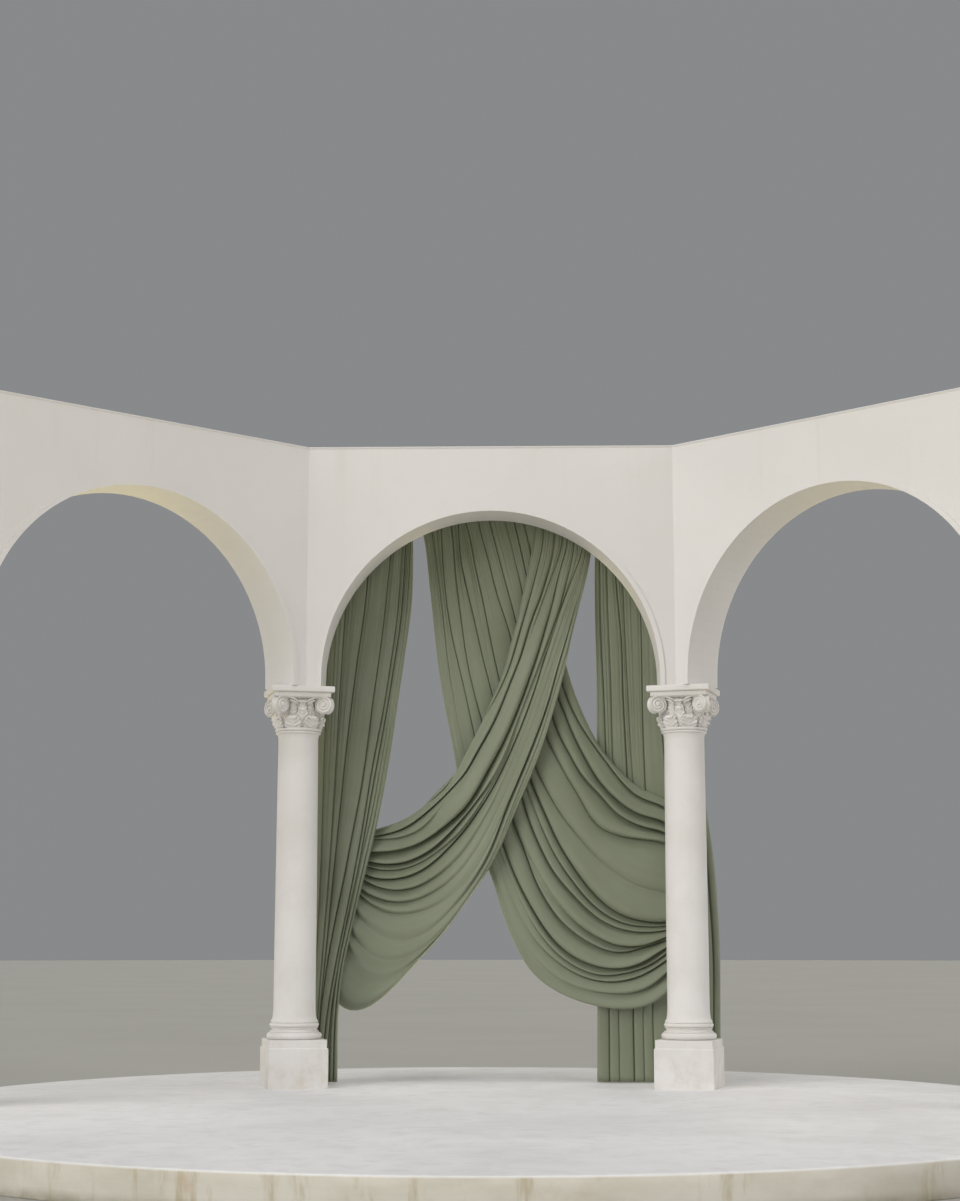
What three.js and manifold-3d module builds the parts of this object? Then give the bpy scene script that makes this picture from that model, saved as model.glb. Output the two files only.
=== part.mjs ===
// Roofless garden gazebo: three arched bays on four columns, standing on a round concrete platform.
// Millimetres, +Z up. The origin is the centre of the platform's underside; visitors look along +Y.
import * as THREE from "three";
import { mergeVertices } from "three/addons/utils/BufferGeometryUtils.js";
import Module from "manifold-3d";

const wasm = await Module();
wasm.setup();

// clearances and curve fineness
const GAP = 0.3;
const ARCH_STEPS = 48;
const ROUND_STEPS = 32;
const PLATFORM_STEPS = 120;

// round platform
const PLATFORM_RADIUS = 3575;
const PLATFORM_HEIGHT = 175;
const PLATFORM_CHAMFER = 12;

// plan of the arcade: three bays that turn towards the visitor
const BAY = 2500;
const TURN = THREE.MathUtils.degToRad(41.2);
const MIDDLE_COLUMN_TURN = THREE.MathUtils.degToRad(15.2);
const END_COLUMN_TURN = TURN * 1.5;
const MIDDLE_BAY_Y = 1295;
const WALL_THICK = 330;

// heights above the ground
const COLUMN_TOP = 2830;
const ARCH_SPRING = 2889;
const WALL_TOP = 4473;

// arches and their raised rims
const ARCH_RADIUS = 1145;
const RIM_WIDTH = 33;
const RIM_DEPTH = 8;

// coping along the top of the wall
const COPING_HEIGHT = 14;
const COPING_OVERHANG = 7;

// column pieces, from the bottom up
const PEDESTAL_WIDTH = 396;
const PEDESTAL_HEIGHT = 262;
const PLINTH_WIDTH = 380;
const PLINTH_HEIGHT = 50;
const BASE_HEIGHT = 158;
const LOWER_ROUND = { radius: 160, bottom: -1, top: 46 };
const UPPER_ROUND_RADIUS = 150;
const UPPER_ROUND_BOTTOM = 78;
const BASE_HOLLOW = [[164, 46], [164, 52], [152, 60], [150, 68], [158, 74], [158, 78]];
const SHAFT_RADIUS = 140;
const NECK_RADIUS = 135;
const SHAFT_HEIGHT = 1958;
const ABACUS_WIDTH = 429;
const ABACUS_HEIGHT = 40;

// capital
const BELL_RADIUS = 138;
const LIP_RADIUS = 168;
const VOLUTE_RADIUS = 61;
const VOLUTE_THICK = 62;
const VOLUTE_REACH = 226;
const VOLUTE_DROP = 80;
const FILLET_WIDTH = 385;
const FILLET_HEIGHT = 15;
const LEAF_ROWS = [{ top: 0.36, reach: 188 }, { top: 0.68, reach: 180 }];
const LEAVES_PER_ROW = 8;
const LEAF_WIDTH = 88;

// hanging rail behind the middle arch
const RAIL_RADIUS = 16;
const RAIL_HALF = 1300;
const RAIL_Z = 4120;
const RAIL_OFF_WALL = 70;
const BRACKET_X = [-1250, -530, 286, 1255];

// drapes behind the middle arch: thickness of the closed solid that stands for each gathered cloth
const CLOTH_THICK = 24;
const HEM_Z = 190;

const group = new THREE.Group();
group.name = "gazebo";

// colours of the parts
const paints = {
  concrete: 0xc8c7c4,
  render: 0xd6d3ca,
  stone: 0xd2cfca,
  steel: 0x8f9190,
  cloth: 0x6f7a64,
};

function addMesh(name, geometry, paint, roughness = 0.8, metalness = 0) {
  const material = new THREE.MeshStandardMaterial({ color: paints[paint], roughness, metalness });
  const mesh = new THREE.Mesh(geometry, material);
  mesh.name = name;
  group.add(mesh);
}

// conversions between three.js geometry and manifold solids
function toSolid(geometry) {
  const bare = geometry.clone();
  bare.deleteAttribute("normal");
  bare.deleteAttribute("uv");
  const merged = mergeVertices(bare, 1e-3);
  return new wasm.Manifold(new wasm.Mesh({
    numProp: 3,
    vertProperties: new Float32Array(merged.attributes.position.array),
    triVerts: new Uint32Array(merged.index.array),
  }));
}

function toGeometry(solid) {
  const mesh = solid.getMesh();
  const geometry = new THREE.BufferGeometry();
  geometry.setAttribute("position", new THREE.BufferAttribute(new Float32Array(mesh.vertProperties), 3));
  geometry.setIndex(new THREE.BufferAttribute(new Uint32Array(mesh.triVerts), 1));
  geometry.computeVertexNormals();
  return geometry;
}

// a lathe turned about +Z from [radius, height] pairs
function turned(profile, steps = ROUND_STEPS) {
  const points = profile.map(([radius, height]) => new THREE.Vector2(radius, height));
  return new THREE.LatheGeometry(points, steps).rotateX(Math.PI / 2);
}

function block(width, depth, height, z) {
  return new THREE.BoxGeometry(width, depth, height).translate(0, 0, z + height / 2);
}

// a flat outline of [across, up] pairs given a thickness along +Y, starting at y
function upright(outline, y, thickness) {
  const shape = new THREE.Shape(outline.map(([across, up]) => new THREE.Vector2(across, up)));
  const solid = new THREE.ExtrudeGeometry(shape, { depth: thickness, bevelEnabled: false });
  return solid.rotateX(Math.PI / 2).translate(0, y + thickness, 0);
}

// half-round moulding points between two heights, bulging out by its half height
function torus(radius, z0, z1, steps = 4) {
  const half = (z1 - z0) / 2;
  return Array.from({ length: steps + 1 }, (_, i) => {
    const angle = -Math.PI / 2 + (Math.PI * i) / steps;
    return [radius + half * Math.cos(angle), z0 + half + half * Math.sin(angle)];
  });
}

// placing: a bay's own frame has its inner face on y = 0, its middle at x = 0 and outwards along +Y
function bayMatrix(side) {
  const turn = -side * TURN;
  const along = (BAY / 2) * (1 + Math.cos(TURN));
  const forward = (BAY / 2) * Math.sin(TURN);
  const x = side * along;
  const y = MIDDLE_BAY_Y - Math.abs(side) * forward;
  return new THREE.Matrix4().makeRotationZ(turn).setPosition(x, y, 0);
}

const MITRE = Math.tan(TURN / 2);
const AXIS_BACK = WALL_THICK / 2;
const AXIS_BEYOND = AXIS_BACK * MITRE;

function columnMatrix(index) {
  const side = index < 2 ? -1 : 1;
  const isEnd = index === 0 || index === 3;
  const beyond = side * (BAY / 2 + AXIS_BEYOND);
  const local = new THREE.Vector3(beyond, AXIS_BACK, 0).applyMatrix4(bayMatrix(isEnd ? side : 0));
  const turn = -side * (isEnd ? END_COLUMN_TURN : MIDDLE_COLUMN_TURN);
  return new THREE.Matrix4().makeRotationZ(turn).setPosition(local);
}

// plan outline of a bay, mitred at both folds and grown by a margin inwards and outwards
function bayPlan(margin) {
  const inner = BAY / 2 - margin * MITRE - GAP / 2;
  const outer = BAY / 2 + (WALL_THICK + margin) * MITRE - GAP / 2;
  return [[-inner, -margin], [inner, -margin], [outer, WALL_THICK + margin], [-outer, WALL_THICK + margin]];
}

function planPrism(plan, z0, z1) {
  const shape = new THREE.Shape(plan.map(([x, y]) => new THREE.Vector2(x, y)));
  return new THREE.ExtrudeGeometry(shape, { depth: z1 - z0, bevelEnabled: false }).translate(0, 0, z0);
}

// arch outline, a stilted semicircle whose legs run down to a given height
function archOutline(radius, bottom) {
  const points = [[radius, bottom]];
  for (let i = 0; i <= ARCH_STEPS; i += 1) {
    const angle = (Math.PI * i) / ARCH_STEPS;
    points.push([radius * Math.cos(angle), ARCH_SPRING + radius * Math.sin(angle)]);
  }
  points.push([-radius, bottom]);
  return points;
}

// platform
addMesh("platform", turned([
  [0, 0],
  [PLATFORM_RADIUS, 0],
  [PLATFORM_RADIUS, PLATFORM_HEIGHT - PLATFORM_CHAMFER],
  [PLATFORM_RADIUS - PLATFORM_CHAMFER, PLATFORM_HEIGHT],
  [0, PLATFORM_HEIGHT],
], PLATFORM_STEPS), "concrete", 0.9);

// columns
const PEDESTAL_Z = PLATFORM_HEIGHT + GAP;
const BASE_Z = PEDESTAL_Z + PEDESTAL_HEIGHT + GAP;
const SHAFT_Z = BASE_Z + BASE_HEIGHT + GAP;
const CAPITAL_Z = SHAFT_Z + SHAFT_HEIGHT + GAP;
const ABACUS_Z = COLUMN_TOP - ABACUS_HEIGHT;
const CAPITAL_HEIGHT = ABACUS_Z - GAP - CAPITAL_Z;

function pedestalGeometry() {
  const chamfer = 8;
  const half = PEDESTAL_WIDTH / 2;
  const lower = block(PEDESTAL_WIDTH, PEDESTAL_WIDTH, PEDESTAL_HEIGHT - chamfer, 0);
  const top = new THREE.CylinderGeometry((half - chamfer) * Math.SQRT2, half * Math.SQRT2, chamfer, 4);
  top.rotateX(Math.PI / 2).rotateZ(Math.PI / 4).translate(0, 0, PEDESTAL_HEIGHT - chamfer / 2);
  return toGeometry(toSolid(lower).add(toSolid(top)));
}

function baseGeometry() {
  const plinth = toSolid(block(PLINTH_WIDTH, PLINTH_WIDTH, PLINTH_HEIGHT, 0));
  const above = (height) => PLINTH_HEIGHT + height;
  const mouldings = turned([
    [0, above(LOWER_ROUND.bottom)],
    ...torus(LOWER_ROUND.radius, above(LOWER_ROUND.bottom), above(LOWER_ROUND.top)),
    ...BASE_HOLLOW.map(([radius, height]) => [radius, above(height)]),
    ...torus(UPPER_ROUND_RADIUS, above(UPPER_ROUND_BOTTOM), BASE_HEIGHT),
    [0, BASE_HEIGHT],
  ]);
  return toGeometry(plinth.add(toSolid(mouldings)));
}

// shaft with a flared foot, a slight swelling and the ringed astragal at its neck
function shaftGeometry() {
  const neck = SHAFT_HEIGHT - 40;
  return turned([
    [0, 0],
    [SHAFT_RADIUS + 17, 0],
    [SHAFT_RADIUS + 17, 12],
    [SHAFT_RADIUS + 10, 20],
    [SHAFT_RADIUS + 4, 42],
    [SHAFT_RADIUS, 100],
    [SHAFT_RADIUS, neck * 0.35],
    [SHAFT_RADIUS - 2, neck * 0.65],
    [NECK_RADIUS, neck - 36],
    [NECK_RADIUS + 6, neck],
    ...torus(NECK_RADIUS + 10, neck + 2, neck + 14),
    ...torus(NECK_RADIUS + 13, neck + 18, SHAFT_HEIGHT),
    [0, SHAFT_HEIGHT],
  ]);
}

// one acanthus leaf in outline: a tapered slab that leans out from the bell and ends in a curled tip
function leafSolid(top, reach, width) {
  const root = BELL_RADIUS - 12;
  const z = CAPITAL_HEIGHT * top;
  const outline = [
    [root, 1],
    [BELL_RADIUS + 14, 1],
    [BELL_RADIUS + 12, z * 0.55],
    [reach - 6, z * 0.86],
    [reach, z * 0.92],
    [reach - 4, z],
    [reach - 18, z + 3],
    [root, z * 0.94],
  ];
  const slab = upright(outline, -width / 2, width);
  return toSolid(slab);
}

function capitalGeometry() {
  const height = CAPITAL_HEIGHT;
  let solid = toSolid(turned([
    [0, 0],
    [BELL_RADIUS, 0],
    [BELL_RADIUS, height * 0.6],
    [BELL_RADIUS + 8, height * 0.8],
    [LIP_RADIUS, height * 0.86],
    [LIP_RADIUS, height],
    [0, height],
  ]));
  LEAF_ROWS.forEach(({ top, reach }, row) => {
    for (let i = 0; i < LEAVES_PER_ROW; i += 1) {
      const angle = ((i + row * 0.5) * 2 * Math.PI) / LEAVES_PER_ROW;
      solid = solid.add(leafSolid(top, reach, LEAF_WIDTH).rotate([0, 0, THREE.MathUtils.radToDeg(angle)]));
    }
  });
  for (let corner = 0; corner < 4; corner += 1) {
    const angle = Math.PI / 4 + (corner * Math.PI) / 2;
    const disc = new THREE.CylinderGeometry(VOLUTE_RADIUS, VOLUTE_RADIUS, VOLUTE_THICK, 24);
    disc.translate(VOLUTE_REACH, 0, 0);
    const arm = new THREE.BoxGeometry(VOLUTE_REACH, VOLUTE_THICK * 0.7, VOLUTE_RADIUS);
    arm.translate(VOLUTE_REACH / 2, 0, VOLUTE_RADIUS * 0.35);
    const scroll = toSolid(disc).add(toSolid(arm));
    const lifted = scroll.translate([0, 0, height - VOLUTE_DROP + GAP]);
    solid = solid.add(lifted.rotate([0, 0, THREE.MathUtils.radToDeg(angle)]));
  }
  solid = solid.add(toSolid(block(FILLET_WIDTH, FILLET_WIDTH, FILLET_HEIGHT, height - FILLET_HEIGHT)));
  const trim = toSolid(block(2 * ABACUS_WIDTH, 2 * ABACUS_WIDTH, height, 0));
  return toGeometry(solid.intersect(trim));
}

function abacusGeometry() {
  const half = ABACUS_WIDTH / 2;
  const lip = 14;
  const slab = toSolid(block(ABACUS_WIDTH, ABACUS_WIDTH, ABACUS_HEIGHT - lip, lip));
  const cove = new THREE.CylinderGeometry(half * Math.SQRT2, (half - 16) * Math.SQRT2, lip + 1, 4);
  cove.rotateX(Math.PI / 2).rotateZ(Math.PI / 4).translate(0, 0, (lip + 1) / 2);
  return toGeometry(slab.add(toSolid(cove)));
}

for (let index = 0; index < 4; index += 1) {
  const number = index + 1;
  const place = (geometry, z) => geometry.translate(0, 0, z).applyMatrix4(columnMatrix(index));
  addMesh(`pedestal_${number}`, place(pedestalGeometry(), PEDESTAL_Z), "stone", 0.75);
  addMesh(`column_base_${number}`, place(baseGeometry(), BASE_Z), "stone", 0.7);
  addMesh(`column_shaft_${number}`, place(shaftGeometry(), SHAFT_Z), "stone", 0.65);
  addMesh(`capital_${number}`, place(capitalGeometry(), CAPITAL_Z), "stone", 0.75);
  addMesh(`abacus_${number}`, place(abacusGeometry(), ABACUS_Z), "stone", 0.75);
}

// arched wall panels, their raised rims and their copings
const WALL_Z = COLUMN_TOP + GAP;

// an end panel runs on past its last fold to the far side of the end column
function trimPlan(side, margin) {
  const plan = bayPlan(margin);
  if (side === 0) return plan;
  const end = side * (BAY / 2 + 2 * AXIS_BEYOND);
  return plan.map(([x, y]) => (Math.sign(x) === side ? [end + side * margin, y] : [x, y]));
}

function wallSolid(side) {
  const whole = toSolid(planPrism(trimPlan(side, 0), WALL_Z, WALL_TOP));
  const opening = upright(archOutline(ARCH_RADIUS, WALL_Z - 1), -1, WALL_THICK + 2);
  return whole.subtract(toSolid(opening));
}

function rimGeometry() {
  const outer = archOutline(ARCH_RADIUS + RIM_WIDTH, WALL_Z);
  const inner = archOutline(ARCH_RADIUS, WALL_Z).reverse();
  return upright([...outer, ...inner], -GAP - RIM_DEPTH, RIM_DEPTH);
}

const bays = [{ name: "left", side: -1 }, { name: "middle", side: 0 }, { name: "right", side: 1 }];
for (const { name, side } of bays) {
  const matrix = bayMatrix(side);
  addMesh(`wall_${name}`, toGeometry(wallSolid(side)).applyMatrix4(matrix), "render", 0.85);
  addMesh(`arch_rim_${name}`, rimGeometry().applyMatrix4(matrix), "render", 0.8);
  const coping = planPrism(trimPlan(side, COPING_OVERHANG), WALL_TOP + GAP, WALL_TOP + GAP + COPING_HEIGHT);
  addMesh(`coping_${name}`, coping.applyMatrix4(matrix), "render", 0.8);
}

// hanging rail on four brackets behind the middle bay, in the gaps between the drapes
const BACK_Y = MIDDLE_BAY_Y + WALL_THICK;
const railY = BACK_Y + RAIL_OFF_WALL;
const rail = new THREE.CylinderGeometry(RAIL_RADIUS, RAIL_RADIUS, 2 * RAIL_HALF, 20);
let railSolid = toSolid(rail.rotateZ(Math.PI / 2).translate(0, railY, RAIL_Z));
for (const x of BRACKET_X) {
  const plate = new THREE.BoxGeometry(60, 8, 90).translate(x, BACK_Y + GAP + 4, RAIL_Z);
  const stub = new THREE.BoxGeometry(18, RAIL_OFF_WALL, 18).translate(x, BACK_Y + 5 + RAIL_OFF_WALL / 2, RAIL_Z);
  railSolid = railSolid.add(toSolid(plate)).add(toSolid(stub));
}
addMesh("hanging_rail", toGeometry(railSolid), "steel", 0.4, 0.9);

// drapes: closed solids run through stations of [left x, left z, right x, right z, y behind the wall]
const HANG_Z = RAIL_Z - RAIL_RADIUS - GAP;
const drapes = {
  curtain_left: [
    [-1180, HANG_Z, -550, HANG_Z, RAIL_OFF_WALL],
    [-1230, 3556, -556, 3556, 100],
    [-1290, 2781, -670, 2781, 123],
    [-1330, 1895, -801, 1895, 123],
    [-1370, 1182, -952, 1182, 123],
    [-1400, HEM_Z, -1060, HEM_Z, 123],
  ],
  curtain_right: [
    [740, HANG_Z, 1230, HANG_Z, RAIL_OFF_WALL],
    [735, 3860, 1260, 3860, 150],
    [727, 3400, 1330, 3400, 196],
    [716, 2465, 1420, 2465, 196],
    [716, 1700, 1520, 1700, 196],
    [716, 1200, 1560, 1200, 196],
    [716, HEM_Z, 1560, HEM_Z, 196],
  ],
  swag_front: [
    [300, HANG_Z, 720, HANG_Z, RAIL_OFF_WALL],
    [286, 3852, 708, 3790, 76],
    [165, 3178, 590, 3270, 82],
    [-65, 2640, 495, 2950, 84],
    [-230, 2204, 357, 2466, 86],
    [-400, 2080, 211, 2135, 92],
    [-601, 1950, 66, 1806, 102],
    [-790, 1872, -194, 1372, 158],
    [-960, 1800, -472, 1008, 178],
    [-1060, 1740, -800, 850, 182],
    [-1220, 1600, -1220, 1150, 184],
  ],
  swag_back: [
    [-510, HANG_Z, 272, HANG_Z, RAIL_OFF_WALL],
    [-490, 3960, 272, 3960, 78],
    [-446, 3840, 290, 3800, 138],
    [-379, 3201, 480, 3160, 144],
    [-330, 2800, 620, 2800, 146],
    [-272, 2467, 750, 2465, 148],
    [-147, 2018, 979, 1963, 152],
    [-23, 1629, 1100, 1790, 156],
    [133, 1183, 1180, 1700, 160],
    [397, 809, 1225, 1560, 162],
    [735, 749, 1250, 1420, 162],
    [1150, 723, 1270, 1300, 162],
  ],
};

function clothGeometry(stations) {
  const corners = stations.flatMap(([leftX, leftZ, rightX, rightZ, back]) => {
    const near = BACK_Y + back - CLOTH_THICK / 2;
    const far = near + CLOTH_THICK;
    return [leftX, near, leftZ, rightX, near, rightZ, rightX, far, rightZ, leftX, far, leftZ];
  });
  const faces = [0, 1, 2, 0, 2, 3];
  for (let station = 0; station < stations.length - 1; station += 1) {
    for (let side = 0; side < 4; side += 1) {
      const a = station * 4 + side;
      const b = station * 4 + ((side + 1) % 4);
      faces.push(a, a + 4, b, b, a + 4, b + 4);
    }
  }
  const last = (stations.length - 1) * 4;
  faces.push(last, last + 2, last + 1, last, last + 3, last + 2);
  const geometry = new THREE.BufferGeometry();
  geometry.setAttribute("position", new THREE.Float32BufferAttribute(corners, 3));
  geometry.setIndex(faces);
  geometry.computeVertexNormals();
  return geometry;
}

for (const [name, stations] of Object.entries(drapes)) {
  addMesh(name, clothGeometry(stations), "cloth", 0.95);
}

export default group;
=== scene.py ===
"""Roofless garden gazebo: arched walls on composite columns, a round platform and sage drapes."""

import math

import bmesh
import bpy
import numpy as np
from mathutils import Matrix, Vector


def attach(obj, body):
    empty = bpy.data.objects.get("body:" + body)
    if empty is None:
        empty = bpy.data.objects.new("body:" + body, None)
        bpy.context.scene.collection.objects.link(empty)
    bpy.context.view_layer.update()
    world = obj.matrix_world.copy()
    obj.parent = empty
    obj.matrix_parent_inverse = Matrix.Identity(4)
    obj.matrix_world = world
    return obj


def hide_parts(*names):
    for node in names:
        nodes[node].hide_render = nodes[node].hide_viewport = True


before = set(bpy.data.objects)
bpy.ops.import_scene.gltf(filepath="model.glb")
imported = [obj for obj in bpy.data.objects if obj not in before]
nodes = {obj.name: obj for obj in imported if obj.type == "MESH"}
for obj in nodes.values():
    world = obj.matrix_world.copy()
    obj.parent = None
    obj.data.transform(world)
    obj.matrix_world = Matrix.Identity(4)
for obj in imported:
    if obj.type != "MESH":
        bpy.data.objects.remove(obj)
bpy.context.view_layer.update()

# sizes shared with the solids, in metres
PLATFORM_RADIUS, PLATFORM_TOP = 3.575, 0.175
TURN = math.radians(41.2)
MIDDLE_COLUMN_TURN, END_COLUMN_TURN = math.radians(15.2), TURN * 1.5
BAY, MIDDLE_BAY_Y, WALL_THICK = 2.5, 1.295, 0.33
BASE_Z, SHAFT_Z, CAPITAL_Z, ABACUS_Z = 0.4376, 0.5959, 2.5542, 2.79
CAPITAL_HEIGHT, ABACUS_HALF, ABACUS_THICK = 0.2355, 0.2145, 0.04
VOLUTE_RADIUS, VOLUTE_THICK, VOLUTE_REACH, VOLUTE_DROP = 0.059, 0.062, 0.226, 0.0865
RAIL_Y, RAIL_Z, RAIL_RADIUS = 1.695, 4.12, 0.016

# camera at the photograph's viewpoint
FRAME_WIDE, FRAME_HIGH = 960, 1201
FOCAL_PX, SENSOR_MM = 2033.5, 36
CAMERA_AT = Vector((0.249, -12.3375, 1.1625))
CAMERA_TURN = (math.radians(90 + 9.37), 0, math.radians(1.34))

lens = bpy.data.cameras.new("view_camera")
lens.sensor_width = SENSOR_MM
lens.lens = FOCAL_PX * SENSOR_MM / FRAME_HIGH
camera = bpy.data.objects.new("view_camera", lens)
camera.location = CAMERA_AT
camera.rotation_euler = CAMERA_TURN
bpy.context.scene.collection.objects.link(camera)
bpy.context.scene.camera = camera
bpy.context.view_layer.update()
VIEW = np.array(camera.matrix_world.to_3x3())


def on_plane(across, down, y):
    """The point of the upright plane at depth y that the photograph shows at this pixel."""
    ray = VIEW @ np.array([(across - FRAME_WIDE / 2) / FOCAL_PX, (FRAME_HIGH / 2 - down) / FOCAL_PX, -1.0])
    reach = (y - CAMERA_AT.y) / ray[1]
    return np.array(CAMERA_AT) + ray * reach


# mesh helpers
def in_scene(made):
    """Links a new object into the scene."""
    bpy.context.scene.collection.objects.link(made)
    return made


def piece(name, points, faces, finish, smooth=True):
    mesh = bpy.data.meshes.new(name)
    mesh.from_pydata([tuple(p) for p in np.asarray(points, float).tolist()], [], faces)
    mesh.validate()
    if smooth:
        mesh.shade_smooth()
    mesh.materials.append(finish)
    return in_scene(bpy.data.objects.new(name, mesh))


def grid_faces(rows, columns, start=0, wrap=False):
    """Faces between the rows of a grid of points, which may close into a tube."""
    across = columns if wrap else columns - 1
    return [
        (start + r * columns + c, start + r * columns + (c + 1) % columns,
         start + (r + 1) * columns + (c + 1) % columns, start + (r + 1) * columns + c)
        for r in range(rows - 1) for c in range(across)
    ]


def closed_rings(points, count, first_at, last_at):
    """A closed solid from rings of count points each, drawn together to one point before and after them."""
    faces = grid_faces(len(points) // count, count, wrap=True)
    first, last = len(points), len(points) + 1
    rim = len(points) - count
    faces += [(first, (i + 1) % count, i) for i in range(count)]
    faces += [(last, rim + i, rim + (i + 1) % count) for i in range(count)]
    return points + [first_at, last_at], faces


def turned(profile, steps):
    """A closed solid turned about +Z; the profile runs from the bottom of the axis to its top."""
    angles = np.linspace(0, 2 * math.pi, steps, endpoint=False)
    points = [(r * math.cos(a), r * math.sin(a), z) for r, z in profile[1:-1] for a in angles]
    return closed_rings(points, steps, (0, 0, profile[0][1]), (0, 0, profile[-1][1]))


def torus_profile(radius, low, high, steps=8):
    """The outline of a round moulding, from its foot to its top."""
    half = (high - low) / 2
    return [(radius + half * math.cos(a), low + half + half * math.sin(a))
            for a in np.linspace(-math.pi / 2, math.pi / 2, steps + 1)]


def box_points(low, high):
    """Corners of an upright box, in the order that BOX_FACES joins them."""
    return [(x, y, z) for z in (low[2], high[2]) for x, y in
            ((low[0], low[1]), (high[0], low[1]), (high[0], high[1]), (low[0], high[1]))]


BOX_FACES = [(3, 2, 1, 0), (4, 5, 6, 7), (0, 1, 5, 4), (1, 2, 6, 5), (2, 3, 7, 6), (3, 0, 4, 7)]


def merged(name, parts, finish):
    """One mesh object from several (points, faces, matrix) parts."""
    points, faces = [], []
    for part_points, part_faces, matrix in parts:
        start = len(points)
        points += [tuple(matrix @ Vector(p)) for p in part_points]
        faces += [tuple(start + i for i in face) for face in part_faces]
    return piece(name, points, faces, finish)


def sharp_where_steep(made, degrees=38):
    """Smooth shading that keeps the arrises of a moulding crisp."""
    mesh = made.data
    bm = bmesh.new()
    bm.from_mesh(mesh)
    for edge in bm.edges:
        edge.smooth = not (edge.is_manifold and edge.calc_face_angle(0) > math.radians(degrees))
    bm.to_mesh(mesh)
    bm.free()
    mesh.update()


def seat(made, stands_for):
    """Joins a finished piece to the frame, in place of its plain solid where it has one."""
    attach(made, "root")
    if stands_for:
        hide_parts(stands_for)


# finishes
def new_finish(name):
    """A new material with its shader, and the place on the object that its patterns follow."""
    material = bpy.data.materials.new(name)
    material.use_nodes = True
    tree = material.node_tree
    tree.nodes.clear()
    out = tree.nodes.new("ShaderNodeOutputMaterial")
    shader = tree.nodes.new("ShaderNodeBsdfPrincipled")
    tree.links.new(shader.outputs[0], out.inputs["Surface"])
    place = tree.nodes.new("ShaderNodeTexCoord").outputs["Object"]
    return material, tree, shader, place


def fill(tree, node, inputs):
    """Sets a node's inputs to plain values, or links them to other nodes' outputs."""
    for key, value in inputs.items():
        if isinstance(value, bpy.types.NodeSocket):
            tree.links.new(value, node.inputs[key])
        else:
            node.inputs[key].default_value = value


def add(tree, kind, inputs=None, **settings):
    made = tree.nodes.new(kind)
    for key, value in settings.items():
        setattr(made, key, value)
    fill(tree, made, inputs or {})
    return made


def stretched(tree, source, scale):
    return add(tree, "ShaderNodeMapping", {"Vector": source, "Scale": scale}).outputs[0]


def cloudy(tree, source, scale, detail=3.0, rough=0.5, distort=0.0):
    return add(tree, "ShaderNodeTexNoise", {
        "Vector": source, "Scale": scale, "Detail": detail, "Roughness": rough, "Distortion": distort,
    }).outputs["Fac"]


def between(tree, value, low, high, to_low=0.0, to_high=1.0):
    return add(tree, "ShaderNodeMapRange", {
        "Value": value, "From Min": low, "From Max": high, "To Min": to_low, "To Max": to_high,
    }, interpolation_type="SMOOTHSTEP").outputs[0]


def reckon(tree, operation, *values):
    return add(tree, "ShaderNodeMath", dict(enumerate(values)), operation=operation).outputs[0]


def times(tree, a, b):
    return reckon(tree, "MULTIPLY", a, b)


def plus(tree, a, b):
    return reckon(tree, "ADD", a, b)


def tint(tree, amount, under, over):
    """One colour over another, as strong as the amount."""
    return add(tree, "ShaderNodeMix", {0: amount, 6: under, 7: over}, data_type="RGBA").outputs[2]


def marked(tree, colour, noise, low, high, most, mark):
    """A colour with marks where a noise runs high, at full noise as strong as most."""
    return tint(tree, between(tree, noise, low, high, 0, most), colour, linear(*mark))


def bumped(tree, height, depth, strength, below=None):
    inputs = {"Height": height, "Distance": depth, "Strength": strength}
    if below is not None:
        inputs["Normal"] = below
    return add(tree, "ShaderNodeBump", inputs).outputs[0]


def dress(tree, shader, colour, rough, relief, shine):
    """Connects a shader's colour, roughness and relief, and sets how strongly it reflects."""
    fill(tree, shader, {"Base Color": colour, "Roughness": rough, "Normal": relief})
    fill(tree, shader, {"Specular IOR Level": shine})


def linear(red, green, blue):
    """A colour read as 0-255 screen values, as the linear colour of a shader."""
    def one(v):
        v /= 255
        return v / 12.92 if v <= 0.04045 else ((v + 0.055) / 1.055) ** 2.4
    return (one(red), one(green), one(blue), 1.0)


def render_finish():
    """Off-white masonry paint on trowelled render, with rain marks under the coping."""
    material, tree, shader, place = new_finish("masonry paint on render")
    height = add(tree, "ShaderNodeSeparateXYZ", {0: place}).outputs["Z"]
    broad = between(tree, cloudy(tree, place, 0.8, 4, 0.55), 0.3, 0.7)
    colour = tint(tree, broad, linear(221, 218, 216), linear(225, 222, 220))
    colour = marked(tree, colour, cloudy(tree, place, 4.5, 5, 0.6, 0.4), 0.5, 0.8, 0.25, (216, 212, 207))
    streaks = between(tree, cloudy(tree, stretched(tree, place, (9, 9, 0.35)), 1.0, 4, 0.65), 0.56, 0.74)
    under_coping = between(tree, height, 3.7, 4.5, 0.15, 1.0)
    streaks = times(tree, streaks, under_coping)
    colour = tint(tree, times(tree, streaks, 0.18), colour, linear(203, 197, 183))
    colour = marked(tree, colour, cloudy(tree, place, 55, 2, 0.5), 0.74, 0.80, 0.35, (170, 163, 148))
    rough = between(tree, cloudy(tree, place, 12, 3), 0.3, 0.7, 0.74, 0.88)
    waves = bumped(tree, cloudy(tree, place, 2.2, 2, 0.4), 0.02, 0.35)
    trowel = bumped(tree, cloudy(tree, place, 18, 4, 0.6, 0.3), 0.0022, 0.5, waves)
    grain = bumped(tree, cloudy(tree, place, 260, 2, 0.5), 0.0006, 0.5, trowel)
    dress(tree, shader, colour, rough, grain, 0.35)
    return material


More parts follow.
